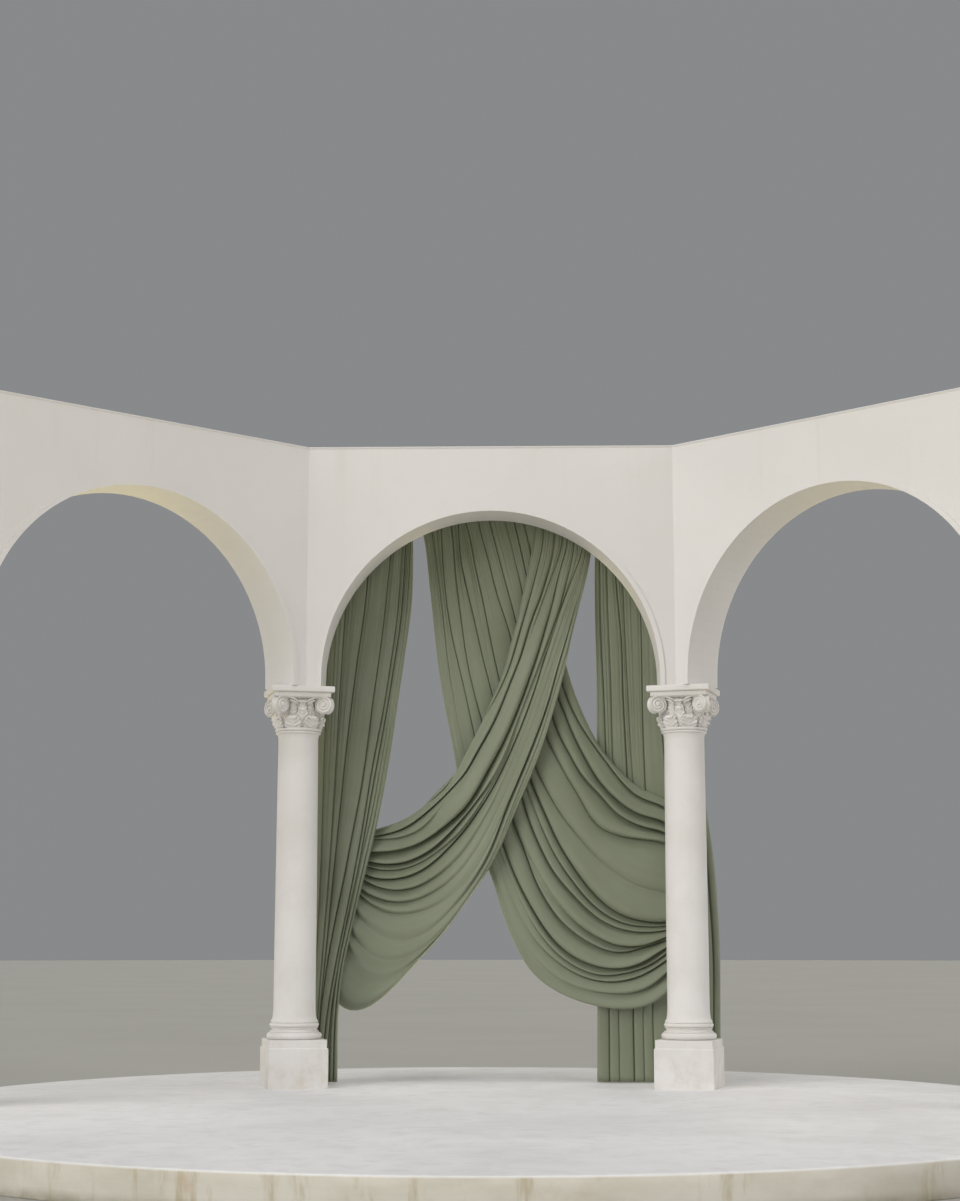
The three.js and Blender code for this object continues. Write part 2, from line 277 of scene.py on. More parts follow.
def stone_finish():
    """White-painted cast stone, with fine pitting, and dust and painted shade in the carving."""
    material, tree, shader, place = new_finish("painted cast stone")
    height = add(tree, "ShaderNodeSeparateXYZ", {0: place}).outputs["Z"]
    broad = between(tree, cloudy(tree, place, 3, 4, 0.55), 0.35, 0.7)
    colour = tint(tree, broad, linear(226, 223, 221), linear(219, 216, 212))
    runs = cloudy(tree, stretched(tree, place, (26, 26, 1.2)), 1.0, 3, 0.6)
    colour = marked(tree, colour, runs, 0.58, 0.78, 0.22, (203, 197, 182))
    splashed = between(tree, cloudy(tree, place, 9, 5, 0.65), 0.4, 0.7)
    splash = times(tree, between(tree, height, 0.75, 0.18), splashed)
    colour = tint(tree, times(tree, splash, 0.45), colour, linear(196, 187, 166))
    hollow = add(tree, "ShaderNodeAttribute", attribute_name="hollow").outputs["Fac"]
    # deeper in the carving a darker tint: dust, and painted shade in the recesses
    colour = tint(tree, times(tree, hollow, 0.08), colour, linear(186, 179, 163))
    rough = between(tree, cloudy(tree, place, 20, 3), 0.3, 0.7, 0.62, 0.8)
    pits = between(tree, cloudy(tree, place, 90, 3, 0.6), 0.68, 0.78, 1, 0)
    soft = bumped(tree, cloudy(tree, place, 14, 4, 0.55), 0.002, 0.4)
    pitted = bumped(tree, pits, 0.0012, 0.5, soft)
    dress(tree, shader, colour, rough, pitted, 0.4)
    return material


def concrete_finish():
    """Trowelled concrete on top, board-cast and rain-stained at the side, greyer and darker towards the
    right.
    """
    material, tree, shader, place = new_finish("trowelled concrete")
    across, _, height = add(tree, "ShaderNodeSeparateXYZ", {0: place}).outputs
    broad = between(tree, cloudy(tree, place, 0.7, 5, 0.6, 0.6), 0.3, 0.72)
    top = tint(tree, broad, linear(241, 239, 240), linear(227, 225, 226))
    top = marked(tree, top, cloudy(tree, place, 6, 6, 0.7, 0.8), 0.42, 0.72, 0.4, (207, 204, 199))
    top = marked(tree, top, cloudy(tree, place, 34, 3, 0.7), 0.70, 0.78, 0.55, (140, 134, 122))
    top = marked(tree, top, cloudy(tree, place, 120, 2, 0.5), 0.76, 0.80, 0.5, (112, 104, 88))
    bands = between(tree, cloudy(tree, stretched(tree, place, (1.3, 1.3, 3)), 1, 5, 0.6), 0.35, 0.7)
    side = tint(tree, bands, linear(219, 214, 204), linear(200, 194, 180))
    drips = cloudy(tree, stretched(tree, place, (7, 7, 1.3)), 1.0, 5, 0.7, 0.2)
    side = marked(tree, side, drips, 0.52, 0.72, 0.75, (178, 164, 132))
    rust = cloudy(tree, stretched(tree, place, (2.2, 2.2, 2.0)), 1.0, 4, 0.7)
    side = marked(tree, side, rust, 0.58, 0.74, 0.5, (186, 158, 112))
    muddy = between(tree, cloudy(tree, place, 5, 5, 0.7), 0.35, 0.65)
    foot = times(tree, between(tree, height, 0.055, 0.0), muddy)
    side = tint(tree, times(tree, foot, 0.6), side, linear(150, 143, 116))
    # the side turns greyer and darker in patches towards the right
    greyer_patches = between(tree, cloudy(tree, place, 1.7, 5, 0.65), 0.3, 0.62, 0.35, 0.65)
    side = tint(tree, times(tree, greyer_patches, between(tree, across, 1.5, 2.8)), side, linear(160, 153, 139))
    colour = tint(tree, between(tree, height, 0.1748, 0.160), top, side)
    rough = between(tree, cloudy(tree, place, 3, 5, 0.6), 0.3, 0.7, 0.6, 0.85)
    sweep = bumped(tree, cloudy(tree, place, 3.5, 5, 0.6, 1.5), 0.004, 0.4)
    boards = bumped(tree, cloudy(tree, stretched(tree, place, (4, 4, 60)), 1, 3, 0.6), 0.0015, 0.4, sweep)
    grain = bumped(tree, cloudy(tree, place, 180, 3, 0.6), 0.0008, 0.6, boards)
    dress(tree, shader, colour, rough, grain, 0.4)
    return material


def steel_finish():
    """Drawn steel tube, dulled, with rings of fine scratches."""
    material, tree, shader, place = new_finish("drawn steel tube")
    lines = cloudy(tree, stretched(tree, place, (6, 420, 420)), 1.0, 3, 0.6)
    colour = tint(tree, between(tree, lines, 0.3, 0.7), linear(168, 170, 170), linear(132, 134, 133))
    rough = between(tree, lines, 0.3, 0.7, 0.32, 0.5)
    scratched = bumped(tree, lines, 0.0002, 0.4)
    fill(tree, shader, {"Base Color": colour, "Metallic": 1.0, "Roughness": rough, "Normal": scratched})
    return material


def cloth_finish():
    """Sage stretch cloth: matte knit with a faint sheen, fine creases along the folds, and a hem groove
    whose dark line is painted shade.
    """
    material, tree, shader, place = new_finish("sage stretch cloth")
    along = add(tree, "ShaderNodeUVMap", uv_map="cloth").outputs[0]
    dye = between(tree, cloudy(tree, place, 1.6, 4, 0.55), 0.3, 0.7)
    colour = tint(tree, dye, linear(132, 138, 118), linear(125, 131, 110))
    worn = cloudy(tree, stretched(tree, along, (38, 1.6, 1)), 1.0, 4, 0.6)
    colour = marked(tree, colour, worn, 0.35, 0.75, 0.22, (120, 124, 104))
    from_edge = add(tree, "ShaderNodeAttribute", attribute_name="from_edge").outputs["Fac"]
    hem_groove_and_shade = times(tree, between(tree, from_edge, 0.011, 0.0125), between(tree, from_edge, 0.0155, 0.014))
    # a dark line along the hem: painted shade of its stitched groove, which the bump also presses in
    colour = tint(tree, times(tree, hem_groove_and_shade, 0.5), colour, linear(88, 92, 74))
    rough = between(tree, worn, 0.3, 0.7, 0.56, 0.70)
    creases = bumped(tree, plus(tree, worn, times(tree, hem_groove_and_shade, -0.4)), 0.004, 0.2)
    knit = add(tree, "ShaderNodeTexWave", {
        "Vector": along, "Scale": 420.0, "Distortion": 0.6, "Detail": 1.0,
    }, bands_direction="DIAGONAL").outputs["Fac"]
    knitted = bumped(tree, knit, 0.0003, 0.3, creases)
    dress(tree, shader, colour, rough, knitted, 0.4)
    fill(tree, shader, {"Sheen Weight": 0.18, "Sheen Roughness": 0.45, "Sheen Tint": linear(190, 200, 175)})
    return material


RENDER = render_finish()
STONE = stone_finish()
CONCRETE = concrete_finish()
STEEL = steel_finish()
CLOTH = cloth_finish()
FINISHES = {"wall": RENDER, "arch": RENDER, "coping": RENDER, "platform": CONCRETE, "hanging": STEEL,
            "curtain": CLOTH, "swag": CLOTH}

for name, shown in nodes.items():
    shown.data.materials.clear()
    shown.data.materials.append(FINISHES.get(name.split("_")[0], STONE))


# copings
MITRE = math.tan(TURN / 2)
COPING_FOOT, COPING_TOP = 4.4733, 4.4873
JOINT = 0.0003
FILLET_REACH = 0.007


def bay_matrix(side):
    """A bay's own frame: inner face on y = 0, middle at x = 0, outwards along +Y."""
    along = BAY / 2 * (1 + math.cos(TURN))
    forward = BAY / 2 * math.sin(TURN)
    place = Matrix.Translation((side * along, MIDDLE_BAY_Y - abs(side) * forward, 0))
    return place @ Matrix.Rotation(-side * TURN, 4, "Z")


def coping_plan(side, out):
    """Corners of a bay's top, mitred at the folds and standing out by a margin."""
    inner = BAY / 2 - out * MITRE - JOINT / 2
    outer = BAY / 2 + (WALL_THICK + out) * MITRE - JOINT / 2
    plan = [(-inner, -out), (inner, -out), (outer, WALL_THICK + out), (-outer, WALL_THICK + out)]
    free_end = side * (BAY / 2 + WALL_THICK * MITRE + out)
    return [(free_end if x * side > 0 else x, y) for x, y in plan]


def build_coping(bay, side):
    """Weathering along the wall top, feathered into the wall below and rubbed round at its upper arris."""
    section = [(0.0002, COPING_FOOT), (0.0022, COPING_FOOT + 0.003), (0.0046, COPING_FOOT + 0.0064),
               (0.0058, COPING_FOOT + 0.009), (0.0060, COPING_TOP - 0.003), (0.0054, COPING_TOP - 0.0012),
               (0.0040, COPING_TOP - 0.0003), (0.0022, COPING_TOP)]
    points = [(x, y, z) for out, z in section for x, y in coping_plan(side, out)]
    last = len(points) - 4
    faces = grid_faces(len(section), 4, wrap=True) + [(3, 2, 1, 0), tuple(range(last, last + 4))]
    made = merged(f"weathered_coping_{bay}", [(points, faces, bay_matrix(side))], RENDER)
    sharp_where_steep(made)
    seat(made, f"coping_{bay}")


def build_fold_fillet(bay, side):
    """The coat of render that runs unbroken through a fold, a soft hollow a few millimetres wide."""
    corner = Vector((side * BAY / 2, MIDDLE_BAY_Y))
    to_middle = Vector((-side, 0))
    to_side = Vector((side * math.cos(TURN), -math.sin(TURN)))
    inwards = (to_middle + to_side).normalized()
    plan = []
    for share in [i / 8 for i in range(9)]:
        reach = to_middle * (1 - share) ** 2 + to_side * share ** 2
        plan.append(corner + reach * FILLET_REACH + inwards * 0.0002)
    plan.append(corner - inwards * 0.0002)
    if side < 0:
        plan.reverse()
    points = [(x, y, z) for z in (ABACUS_Z + ABACUS_THICK, COPING_FOOT) for x, y in plan]
    count = len(plan)
    ends = [tuple(reversed(range(count))), tuple(range(count, 2 * count))]
    made = piece(f"fold_fillet_{bay}", points, grid_faces(2, count, wrap=True) + ends, RENDER)
    sharp_where_steep(made)
    seat(made, None)


for bay, side in (("left", -1), ("middle", 0), ("right", 1)):
    build_coping(bay, side)
    if side:
        build_fold_fillet(bay, side)


# columns
def column_matrix(number):
    """A column's place, on the line where two bays meet or at a free end, and its turn."""
    side = -1 if number <= 2 else 1
    at_end = number in (1, 4)
    beyond = side * (BAY / 2 + WALL_THICK / 2 * MITRE)
    foot = bay_matrix(side if at_end else 0) @ Vector((beyond, WALL_THICK / 2, 0))
    turn = END_COLUMN_TURN if at_end else MIDDLE_COLUMN_TURN
    return Matrix.Translation(foot) @ Matrix.Rotation(-side * turn, 4, "Z")


COLUMN_STEPS = 72
PLINTH_HALF, PLINTH_HIGH = 0.190, 0.050


def shaft_parts():
    """A nearly straight shaft with a flared foot and two rings at its neck."""
    radius, neck_radius, height = 0.140, 0.135, 1.958
    neck = height - 0.040
    foot = [(0.0155, 0), (0.017, 0.0015), (0.017, 0.011), (0.016, 0.0125), (0.010, 0.020), (0.0068, 0.028),
            (0.004, 0.042), (0.0022, 0.06), (0, 0.1)]
    profile = [(0, 0)] + [(radius + out, z) for out, z in foot]
    for share in np.linspace(0.08, 1, 14):
        tapered = max(0.0, share - 0.3) / 0.7
        profile.append((radius - 0.005 * tapered ** 1.5, share * (neck - 0.036)))
    flare = [(0.0015, 0.02), (0.005, 0.006), (0.006, 0)]
    profile += [(neck_radius + out, neck - below) for out, below in flare]
    profile += torus_profile(neck_radius + 0.010, neck + 0.001, neck + 0.017)
    profile += torus_profile(neck_radius + 0.013, neck + 0.0185, height)
    profile.append((0, height))
    return turned(profile, COLUMN_STEPS)


def base_parts():
    """Two rounds with a hollow between them, made to stand on a square plinth."""
    height, foot = 0.158, PLINTH_HIGH - 0.001
    profile = [(0, foot)] + torus_profile(0.160, foot, PLINTH_HIGH + 0.046, 12)
    profile += [(0.164, PLINTH_HIGH + 0.047), (0.164, PLINTH_HIGH + 0.052)]
    for share in np.linspace(0.1, 0.9, 7):
        hollow = 0.009 * math.sin(math.pi * share)
        profile.append((0.162 - 0.006 * share - hollow, PLINTH_HIGH + 0.052 + 0.022 * share))
    profile += [(0.158, PLINTH_HIGH + 0.074), (0.158, PLINTH_HIGH + 0.078)]
    profile += torus_profile(0.150, PLINTH_HIGH + 0.079, height, 12) + [(0, height)]
    return turned(profile, COLUMN_STEPS)


def build_column_stack(number):
    place = column_matrix(number)
    shaft_place = place @ Matrix.Translation((0, 0, SHAFT_Z))
    shaft = merged(f"fluteless_shaft_{number}", [(*shaft_parts(), shaft_place)], STONE)
    base_place = place @ Matrix.Translation((0, 0, BASE_Z))
    plinth = box_points((-PLINTH_HALF, -PLINTH_HALF, 0), (PLINTH_HALF, PLINTH_HALF, PLINTH_HIGH))
    base_and_plinth = [(*base_parts(), base_place), (plinth, BOX_FACES, base_place)]
    base = merged(f"moulded_base_{number}", base_and_plinth, STONE)
    for made, node in ((shaft, "column_shaft"), (base, "column_base")):
        sharp_where_steep(made)
        seat(made, f"{node}_{number}")


# capital: carved pieces on a bell
def ring_of_carvings():
    """Node tree that sets copies of one carving round a circle, each turned and sized a little."""
    tree = bpy.data.node_groups.new("ring of carvings", "GeometryNodeTree")
    wanted = {"Carving": "Object", "Count": "Int", "Radius": "Float", "Height": "Float", "Start": "Float",
              "Unevenness": "Float", "Seed": "Int", "Finish": "Material"}
    for title, kind in wanted.items():
        tree.interface.new_socket(title, in_out="INPUT", socket_type=f"NodeSocket{kind}")
    tree.interface.new_socket("Geometry", in_out="OUTPUT", socket_type="NodeSocketGeometry")
    given = tree.nodes.new("NodeGroupInput").outputs
    points = add(tree, "GeometryNodePoints", {"Count": given["Count"]})
    index = tree.nodes.new("GeometryNodeInputIndex").outputs[0]
    share = reckon(tree, "DIVIDE", index, given["Count"])
    angle = plus(tree, times(tree, share, 2 * math.pi), given["Start"])
    across = times(tree, reckon(tree, "COSINE", angle), given["Radius"])
    along = times(tree, reckon(tree, "SINE", angle), given["Radius"])
    spot = add(tree, "ShaderNodeCombineXYZ", {"X": across, "Y": along, "Z": given["Height"]}).outputs[0]
    moved = {"Geometry": points.outputs[0], "Position": spot}
    placed = add(tree, "GeometryNodeSetPosition", moved).outputs[0]
    seeded = add(tree, "FunctionNodeRandomValue", {"ID": index, "Seed": given["Seed"]}, data_type="FLOAT")
    seeded.inputs[2].default_value, seeded.inputs[3].default_value = -1.0, 1.0
    wobble = times(tree, seeded.outputs[1], given["Unevenness"])
    turn = add(tree, "ShaderNodeCombineXYZ", {"Y": wobble, "Z": angle}).outputs[0]
    size = plus(tree, wobble, 1.0)
    carving = add(tree, "GeometryNodeObjectInfo", {"Object": given["Carving"]}).outputs["Geometry"]
    copied = {"Points": placed, "Instance": carving, "Rotation": turn, "Scale": size}
    copies = add(tree, "GeometryNodeInstanceOnPoints", copied).outputs[0]
    real = add(tree, "GeometryNodeRealizeInstances", {"Geometry": copies}).outputs[0]
    done = add(tree, "GeometryNodeSetMaterial", {"Geometry": real, "Material": given["Finish"]}).outputs[0]
    out = tree.nodes.new("NodeGroupOutput")
    tree.links.new(done, out.inputs[0])
    return tree


RING = ring_of_carvings()


def ring_mesh(carving, count, radius, height, start, unevenness, seed):
    """Points and faces of a ring of carvings, from the node tree."""
    holder = in_scene(bpy.data.objects.new("ring holder", bpy.data.meshes.new("ring holder")))
    modifier = holder.modifiers.new("ring", "NODES")
    modifier.node_group = RING
    values = {"Carving": carving, "Count": count, "Radius": radius, "Height": height, "Start": start,
              "Unevenness": unevenness, "Seed": seed, "Finish": STONE}
    for item in RING.interface.items_tree:
        if item.in_out == "INPUT":
            modifier[item.identifier] = values[item.name]
    bpy.context.view_layer.update()
    graph = bpy.context.evaluated_depsgraph_get()
    mesh = bpy.data.meshes.new_from_object(holder.evaluated_get(graph))
    points = [tuple(v.co) for v in mesh.vertices]
    faces = [tuple(p.vertices) for p in mesh.polygons]
    bpy.data.objects.remove(holder)
    bpy.data.meshes.remove(mesh)
    return points, faces


# a leaf's middle line from its foot up: how far out, scaled to its reach, and share of its height
TALL_LEAF_SPINE = [(0.000, 0.00), (0.006, 0.40), (0.012, 0.66), (0.018, 0.84), (0.024, 0.96), (0.030, 1.00)]
LOW_LEAF_SPINE = [(0.000, 0.00), (0.014, 0.16), (0.026, 0.36), (0.036, 0.60), (0.046, 0.84), (0.056, 0.98),
                  (0.064, 0.98), (0.068, 0.88), (0.064, 0.78)]
HIGH_LEAF_SPINE = [(0.000, 0.00), (0.008, 0.30), (0.014, 0.52), (0.021, 0.72), (0.030, 0.88), (0.042, 0.98),
                   (0.052, 0.99), (0.056, 0.93), (0.053, 0.88)]


def leaf_carving(name, spine, height, reach, width, lobes, ribs=5.2, rows=32, columns=21):
    """One acanthus leaf on the bell: deep-cut lobes, a midrib and a heavy tip that curls out and down."""
    widest = max(out for out, _ in spine)
    track = smooth_line([(out * reach / widest, up * height) for out, up in spine], rows)
    outer, inner = [], []
    for row in range(rows):
        v = row / (rows - 1)
        beat = 2 * math.pi * lobes * v ** 0.9
        cut = (0.5 - 0.5 * math.cos(beat)) ** 0.45
        spread = np.interp(v, [0, 0.2, 0.5, 0.72, 0.88, 1.0], [0.80, 1.0, 0.98, 0.80, 0.60, 0.34])
        half = width / 2 * spread * (0.72 + 0.28 * cut)
        step = track[min(row + 1, rows - 1)] - track[max(row - 1, 0)]
        out = np.array([step[1], -step[0]]) / (np.linalg.norm(step) + 1e-9)
        for column in range(columns):
            u = -1 + 2 * column / (columns - 1)
            side = abs(u)
            rib = 0.0032 * math.exp(-(u / 0.16) ** 2)
            flutes = 0.0042 * math.cos(beat - ribs * side + math.pi) * min(1, side * 2.2)
            hand = 0.0018 * math.sin(37 * u + 11 * v) * math.sin(29 * v + 5 * u)
            cup = 0.005 * side ** 2.4 * math.sin(math.pi * min(1, 0.15 + v)) - 0.001
            lift = 0.007 + rib + flutes + hand + cup
            at = track[row] + out * lift
            outer.append((at[0], half * u, at[1] + 0.006 * (1 - v) * (side - 0.4) * cut))
        back = track[row] - out * 0.006
        inner += [(back[0], side * half * 0.94, back[1]) for side in (-1, 1)]
    points = outer + inner
    total, last = rows * columns, columns - 1
    faces = grid_faces(rows, columns) + grid_faces(rows, 2, total)
    for row in range(rows - 1):
        near, far = row * columns, (row + 1) * columns
        faces.append((near, far, total + 2 * row + 2, total + 2 * row))
        faces.append((near + last, far + last, total + 2 * row + 3, total + 2 * row + 1))
    for row in (0, rows - 1):
        front = range(row * columns, (row + 1) * columns)
        faces.append((*front, total + 2 * row + 1, total + 2 * row))
    return loose(name, points, faces)


def loose(name, points, faces):
    """A carving kept out of the scene, for the node tree to copy."""
    mesh = bpy.data.meshes.new(name)
    mesh.from_pydata([tuple(map(float, p)) for p in points], [], faces)
    bm = bmesh.new()
    bm.from_mesh(mesh)
    bmesh.ops.recalc_face_normals(bm, faces=bm.faces)
    bm.to_mesh(mesh)
    bm.free()
    return bpy.data.objects.new(name, mesh)


def rounded_carving(name, half_deep, half_wide, half_high, narrowing):
    """An egg or dart: a squashed ball with a narrowed lower end."""
    rings, steps = 7, 10
    points = []
    for ring in range(1, rings):
        a = math.pi * ring / rings
        narrow = 1 - narrowing * (1 + math.cos(a)) / 2
        for step in range(steps):
            b = 2 * math.pi * step / steps
            deep = half_deep * math.sin(a) * math.cos(b)
            points.append((deep, half_wide * narrow * math.sin(a) * math.sin(b), -half_high * math.cos(a)))
    return loose(name, *closed_rings(points, steps, (0, 0, -half_high), (0, 0, half_high)))


def smooth_line(points, count):
    """Evenly spaced points on a smooth curve through the given ones."""
    points = np.asarray(points, float)
    ends = np.vstack([2 * points[0] - points[1], points, 2 * points[-1] - points[-2]])
    knots = np.concatenate([[0], np.cumsum(np.sqrt(np.linalg.norm(np.diff(ends, axis=0), axis=1)) + 1e-9)])
    dense = []
    for i in range(1, len(ends) - 2):
        t0, t1, t2, t3 = knots[i - 1:i + 3]
        p0, p1, p2, p3 = ends[i - 1:i + 3]
        for t in np.linspace(t1, t2, 24, endpoint=i == len(ends) - 3):
            a1 = (t1 - t) / (t1 - t0) * p0 + (t - t0) / (t1 - t0) * p1
            a2 = (t2 - t) / (t2 - t1) * p1 + (t - t1) / (t2 - t1) * p2
            a3 = (t3 - t) / (t3 - t2) * p2 + (t - t2) / (t3 - t2) * p3
            b1 = (t2 - t) / (t2 - t0) * a1 + (t - t0) / (t2 - t0) * a2
            b2 = (t3 - t) / (t3 - t1) * a2 + (t - t1) / (t3 - t1) * a3
            dense.append((t2 - t) / (t2 - t1) * b1 + (t - t1) / (t2 - t1) * b2)
    dense = np.array(dense)
    run = np.concatenate([[0], np.cumsum(np.linalg.norm(np.diff(dense, axis=0), axis=1))])
    wanted = np.linspace(0, run[-1], count)
    return np.column_stack([np.interp(wanted, run, dense[:, k]) for k in range(dense.shape[1])])


def volute_parts():
    """A corner scroll: a waisted drum, thinner outwards, both faces with a spiral channel and a button."""
    rings, steps, levels = 34, 56, 7
    inmost, band, splay = 0.002, 0.0205, math.tan(math.radians(13))
    channel_deep, channel_wide = 0.0098, 0.0038
    half = VOLUTE_THICK / 2
    angles = [2 * math.pi * step / steps for step in range(steps)]
    radii = np.linspace(VOLUTE_RADIUS, inmost, rings)
    points, faces = [], []
    for sign in (1, -1):
        start = len(points)
        for r in radii:
            for a in angles:
                wound = (VOLUTE_RADIUS - 0.006 - r) / band + (a / (2 * math.pi) + 0.35) % 1.0
                off_channel = abs(wound - round(wound)) * band
                in_band = 0.010 < r < VOLUTE_RADIUS - 0.003
                depth = channel_deep * math.exp(-(off_channel / channel_wide) ** 2) * in_band
                swell = 0.005 * (1 - (r / VOLUTE_RADIUS) ** 2) + 0.003 * (r < 0.012)
                edge = 0.002 * (r == radii[0])
                level = half - splay * r * math.cos(a)
                points.append((r * math.cos(a), sign * (level + swell - depth - edge), r * math.sin(a)))
        middle = len(points)
        points.append((0, sign * (half + 0.013), 0))
        ring_faces = grid_faces(rings, steps, start, wrap=True)
        last = start + (rings - 1) * steps
        ring_faces += [(last + i, last + (i + 1) % steps, middle) for i in range(steps)]
        faces += ring_faces if sign < 0 else [tuple(reversed(f)) for f in ring_faces]
    waist = len(points)
    for share in [step / levels for step in range(1, levels)]:
        r = VOLUTE_RADIUS - 0.006 * math.sin(math.pi * share) ** 0.8
        for a in angles:
            level = half - splay * r * math.cos(a)
            points.append((r * math.cos(a), (level - 0.002) * (1 - 2 * share), r * math.sin(a)))
    front, back = 0, rings * steps + 1
    loops = [front] + [waist + i * steps for i in range(levels - 1)] + [back]
    for upper, lower in zip(loops, loops[1:]):
        faces += [(upper + i, upper + (i + 1) % steps, lower + (i + 1) % steps, lower + i)
                  for i in range(steps)]
    return points, faces


def tube_parts(line, radii):
    """A round stem along a line, closed at both ends."""
    line = np.asarray(line, float)
    sides = 8
    points = []
    for i, (at, radius) in enumerate(zip(line, radii)):
        step = line[min(i + 1, len(line) - 1)] - line[max(i - 1, 0)]
        step /= np.linalg.norm(step)
        side = np.cross(step, (0, 0, 1.0))
        side /= np.linalg.norm(side) + 1e-9
        over = np.cross(side, step)
        for k in range(sides):
            a = 2 * math.pi * k / sides
            points.append(tuple(at + radius * (side * math.cos(a) + over * math.sin(a))))
    return closed_rings(points, sides, tuple(line[0]), tuple(line[-1]))


def square_ring(half, z, steps, sag):
    """One level of a square slab: rounded corners, and sides drawn in by sag at their middle."""
    corner = 0.012
    ring = []
    for side in range(4):
        turn = Matrix.Rotation(side * math.pi / 2, 3, "Z")
        for i in range(steps):
            share = -1 + 2 * i / steps
            inward = sag * math.cos(share * math.pi / 2) + corner * 0.3 * max(0, abs(share) - 0.94) / 0.06
            ring.append(tuple(turn @ Vector((half - inward, half * share * (1 - 0.3 * corner), z))))
    return ring


def square_slab(levels, sag=0.0):
    """A square slab from (half its width, height) levels."""
    steps = 24
    points = [point for half, z in levels for point in square_ring(half, z, steps, sag)]
    return closed_rings(points, 4 * steps, (0, 0, levels[0][1]), (0, 0, levels[-1][1]))


# half widths of the lip under the abacus, and how far below the capital's top
LIP = [(0.150, 0.041), (0.166, 0.0395), (0.178, 0.036), (0.186, 0.0325), (0.191, 0.0295), (0.1925, 0.0265),
       (0.1925, 0.0020), (0.1915, 0.0004)]
# radii of the bell, and heights as shares of the capital
BELL = [(0.147, 0.12), (0.148, 0.3), (0.147, 0.62), (0.149, 0.72), (0.153, 0.785), (0.157, 0.80),
        (0.157, 0.81), (0.153, 0.815), (0.158, 0.835), (0.163, 0.86), (0.163, 0.885), (0.158, 0.9), (0, 0.9)]
# the raised edges over a scroll: out from the axis, aside, and below the capital's top
SCROLL_EDGE = [(0.150, 0.033, 0.056), (0.180, 0.036, 0.042), (0.215, 0.032, 0.0315), (0.245, 0.0265, 0.0345),
               (0.266, 0.022, 0.050)]
# strokes on a face: aside and below the top at the inner end, the same at the outer end, out from the axis,
# and thickness
STROKES = [(0.026, 0.066, 0.094, 0.034, 0.173, 0.0066), (0.034, 0.080, 0.086, 0.054, 0.169, 0.0060)]
BAR_RADII = [0.005, 0.0072, 0.008, 0.008, 0.008, 0.008, 0.008, 0.0072, 0.005]


def corner_parts(scroll, turn):
    """A scroll, the arm that holds it and the two raised edges that run out over it."""
    h = CAPITAL_HEIGHT
    arm = box_points((0.10, -0.026, h - 0.058), (VOLUTE_REACH, 0.026, h - 0.0200))
    scroll_place = turn @ Matrix.Translation((VOLUTE_REACH, 0, h - VOLUTE_DROP))
    parts = [(*scroll, scroll_place), (arm, BOX_FACES, turn)]
    for sign in (1, -1):
        edge = smooth_line([(out, sign * aside, h - below) for out, aside, below in SCROLL_EDGE], 14)
        parts.append((*tube_parts(edge, [0.0055] * 14), turn))
    return parts


def face_parts(turn):
    """The strokes and the short bar carved between two scrolls."""
    h = CAPITAL_HEIGHT
    parts = []
    for sign in (1, -1):
        for near, near_below, far, far_below, out, thick in STROKES:
            line = [(out - 0.004, sign * near, h - near_below),
                    (out, sign * (0.6 * near + 0.4 * far), h - 0.5 * near_below - 0.5 * far_below + 0.002),
                    (out, sign * far, h - far_below)]
            radii = [thick * (0.6 + 0.4 * math.sin(math.pi * i / 15)) for i in range(16)]
            parts.append((*tube_parts(smooth_line(line, 16), radii), turn))
    bar = [(0.174, y, h - 0.0625) for y in np.linspace(-0.026, 0.026, len(BAR_RADII))]
    parts.append((*tube_parts(bar, BAR_RADII), turn))
    return parts


def capital_parts():
    """All the carving of one capital, standing on z = 0 round the Z axis."""
    h = CAPITAL_HEIGHT
    upright = Matrix.Identity(4)
    bell = turned([(0, 0), (0.138, 0), (0.143, 0.006)] + [(r, share * h) for r, share in BELL], COLUMN_STEPS)
    lip = square_slab([(half, h - below) for half, below in LIP])
    low_leaf = leaf_carving("lower leaf", LOW_LEAF_SPINE, 0.30 * h, 0.040, 0.114, 3.5)
    high_leaf = leaf_carving("upper leaf", HIGH_LEAF_SPINE, 0.54 * h, 0.026, 0.092, 5.5)
    side_leaf = leaf_carving("broad leaf", TALL_LEAF_SPINE, 0.71 * h, 0.022, 0.080, 4.5, 7.0)
    tall_leaf = leaf_carving("tall leaf", TALL_LEAF_SPINE, 0.74 * h, 0.016, 0.066, 8.5, 5.2, 28, 17)
    egg = rounded_carving("egg", 0.011, 0.0135, 0.013, 0.25)
    dart = rounded_carving("dart", 0.008, 0.004, 0.013, 0.75)
    # carving, count, radius, height, start, unevenness, seed
    rings = [(tall_leaf, 16, 0.141, 0.004, 0.0, 0.02, 11), (high_leaf, 8, 0.139, 0.004, 0.0, 0.02, 3),
             (side_leaf, 4, 0.1435, 0.004, 0.0, 0.01, 13), (low_leaf, 8, 0.139, 0.001, math.pi / 8, 0.02, 5),
             (egg, 24, 0.159, 0.86 * h, math.pi / 24, 0.01, 7), (dart, 24, 0.160, 0.855 * h, 0.0, 0.01, 9)]
    parts = [(*made, upright) for made in (bell, lip, *(ring_mesh(*ring) for ring in rings))]
    scroll = volute_parts()
    for quarter in [i * math.pi / 2 for i in range(4)]:
        parts += corner_parts(scroll, Matrix.Rotation(math.pi / 4 + quarter, 4, "Z"))
        parts += face_parts(Matrix.Rotation(quarter, 4, "Z"))
    return parts


def mark_dust_and_shade_depth(made, number):
    """Marks how deep each point lies in the carving, where dust settles and where shade is painted."""
    inverse = column_matrix(number).inverted()
    reach = []
    for vertex in made.data.vertices:
        local = inverse @ vertex.co
        radius = math.hypot(local.x, local.y)
        share = (local.z - CAPITAL_Z) / CAPITAL_HEIGHT
        skin = 0.158 if share < 0.78 else 0.166
        reach.append(min(1.0, max(0.0, (skin - radius) / 0.022)))
    made.data.attributes.new("hollow", "FLOAT", "POINT").data.foreach_set("value", reach)


CARVING = capital_parts()


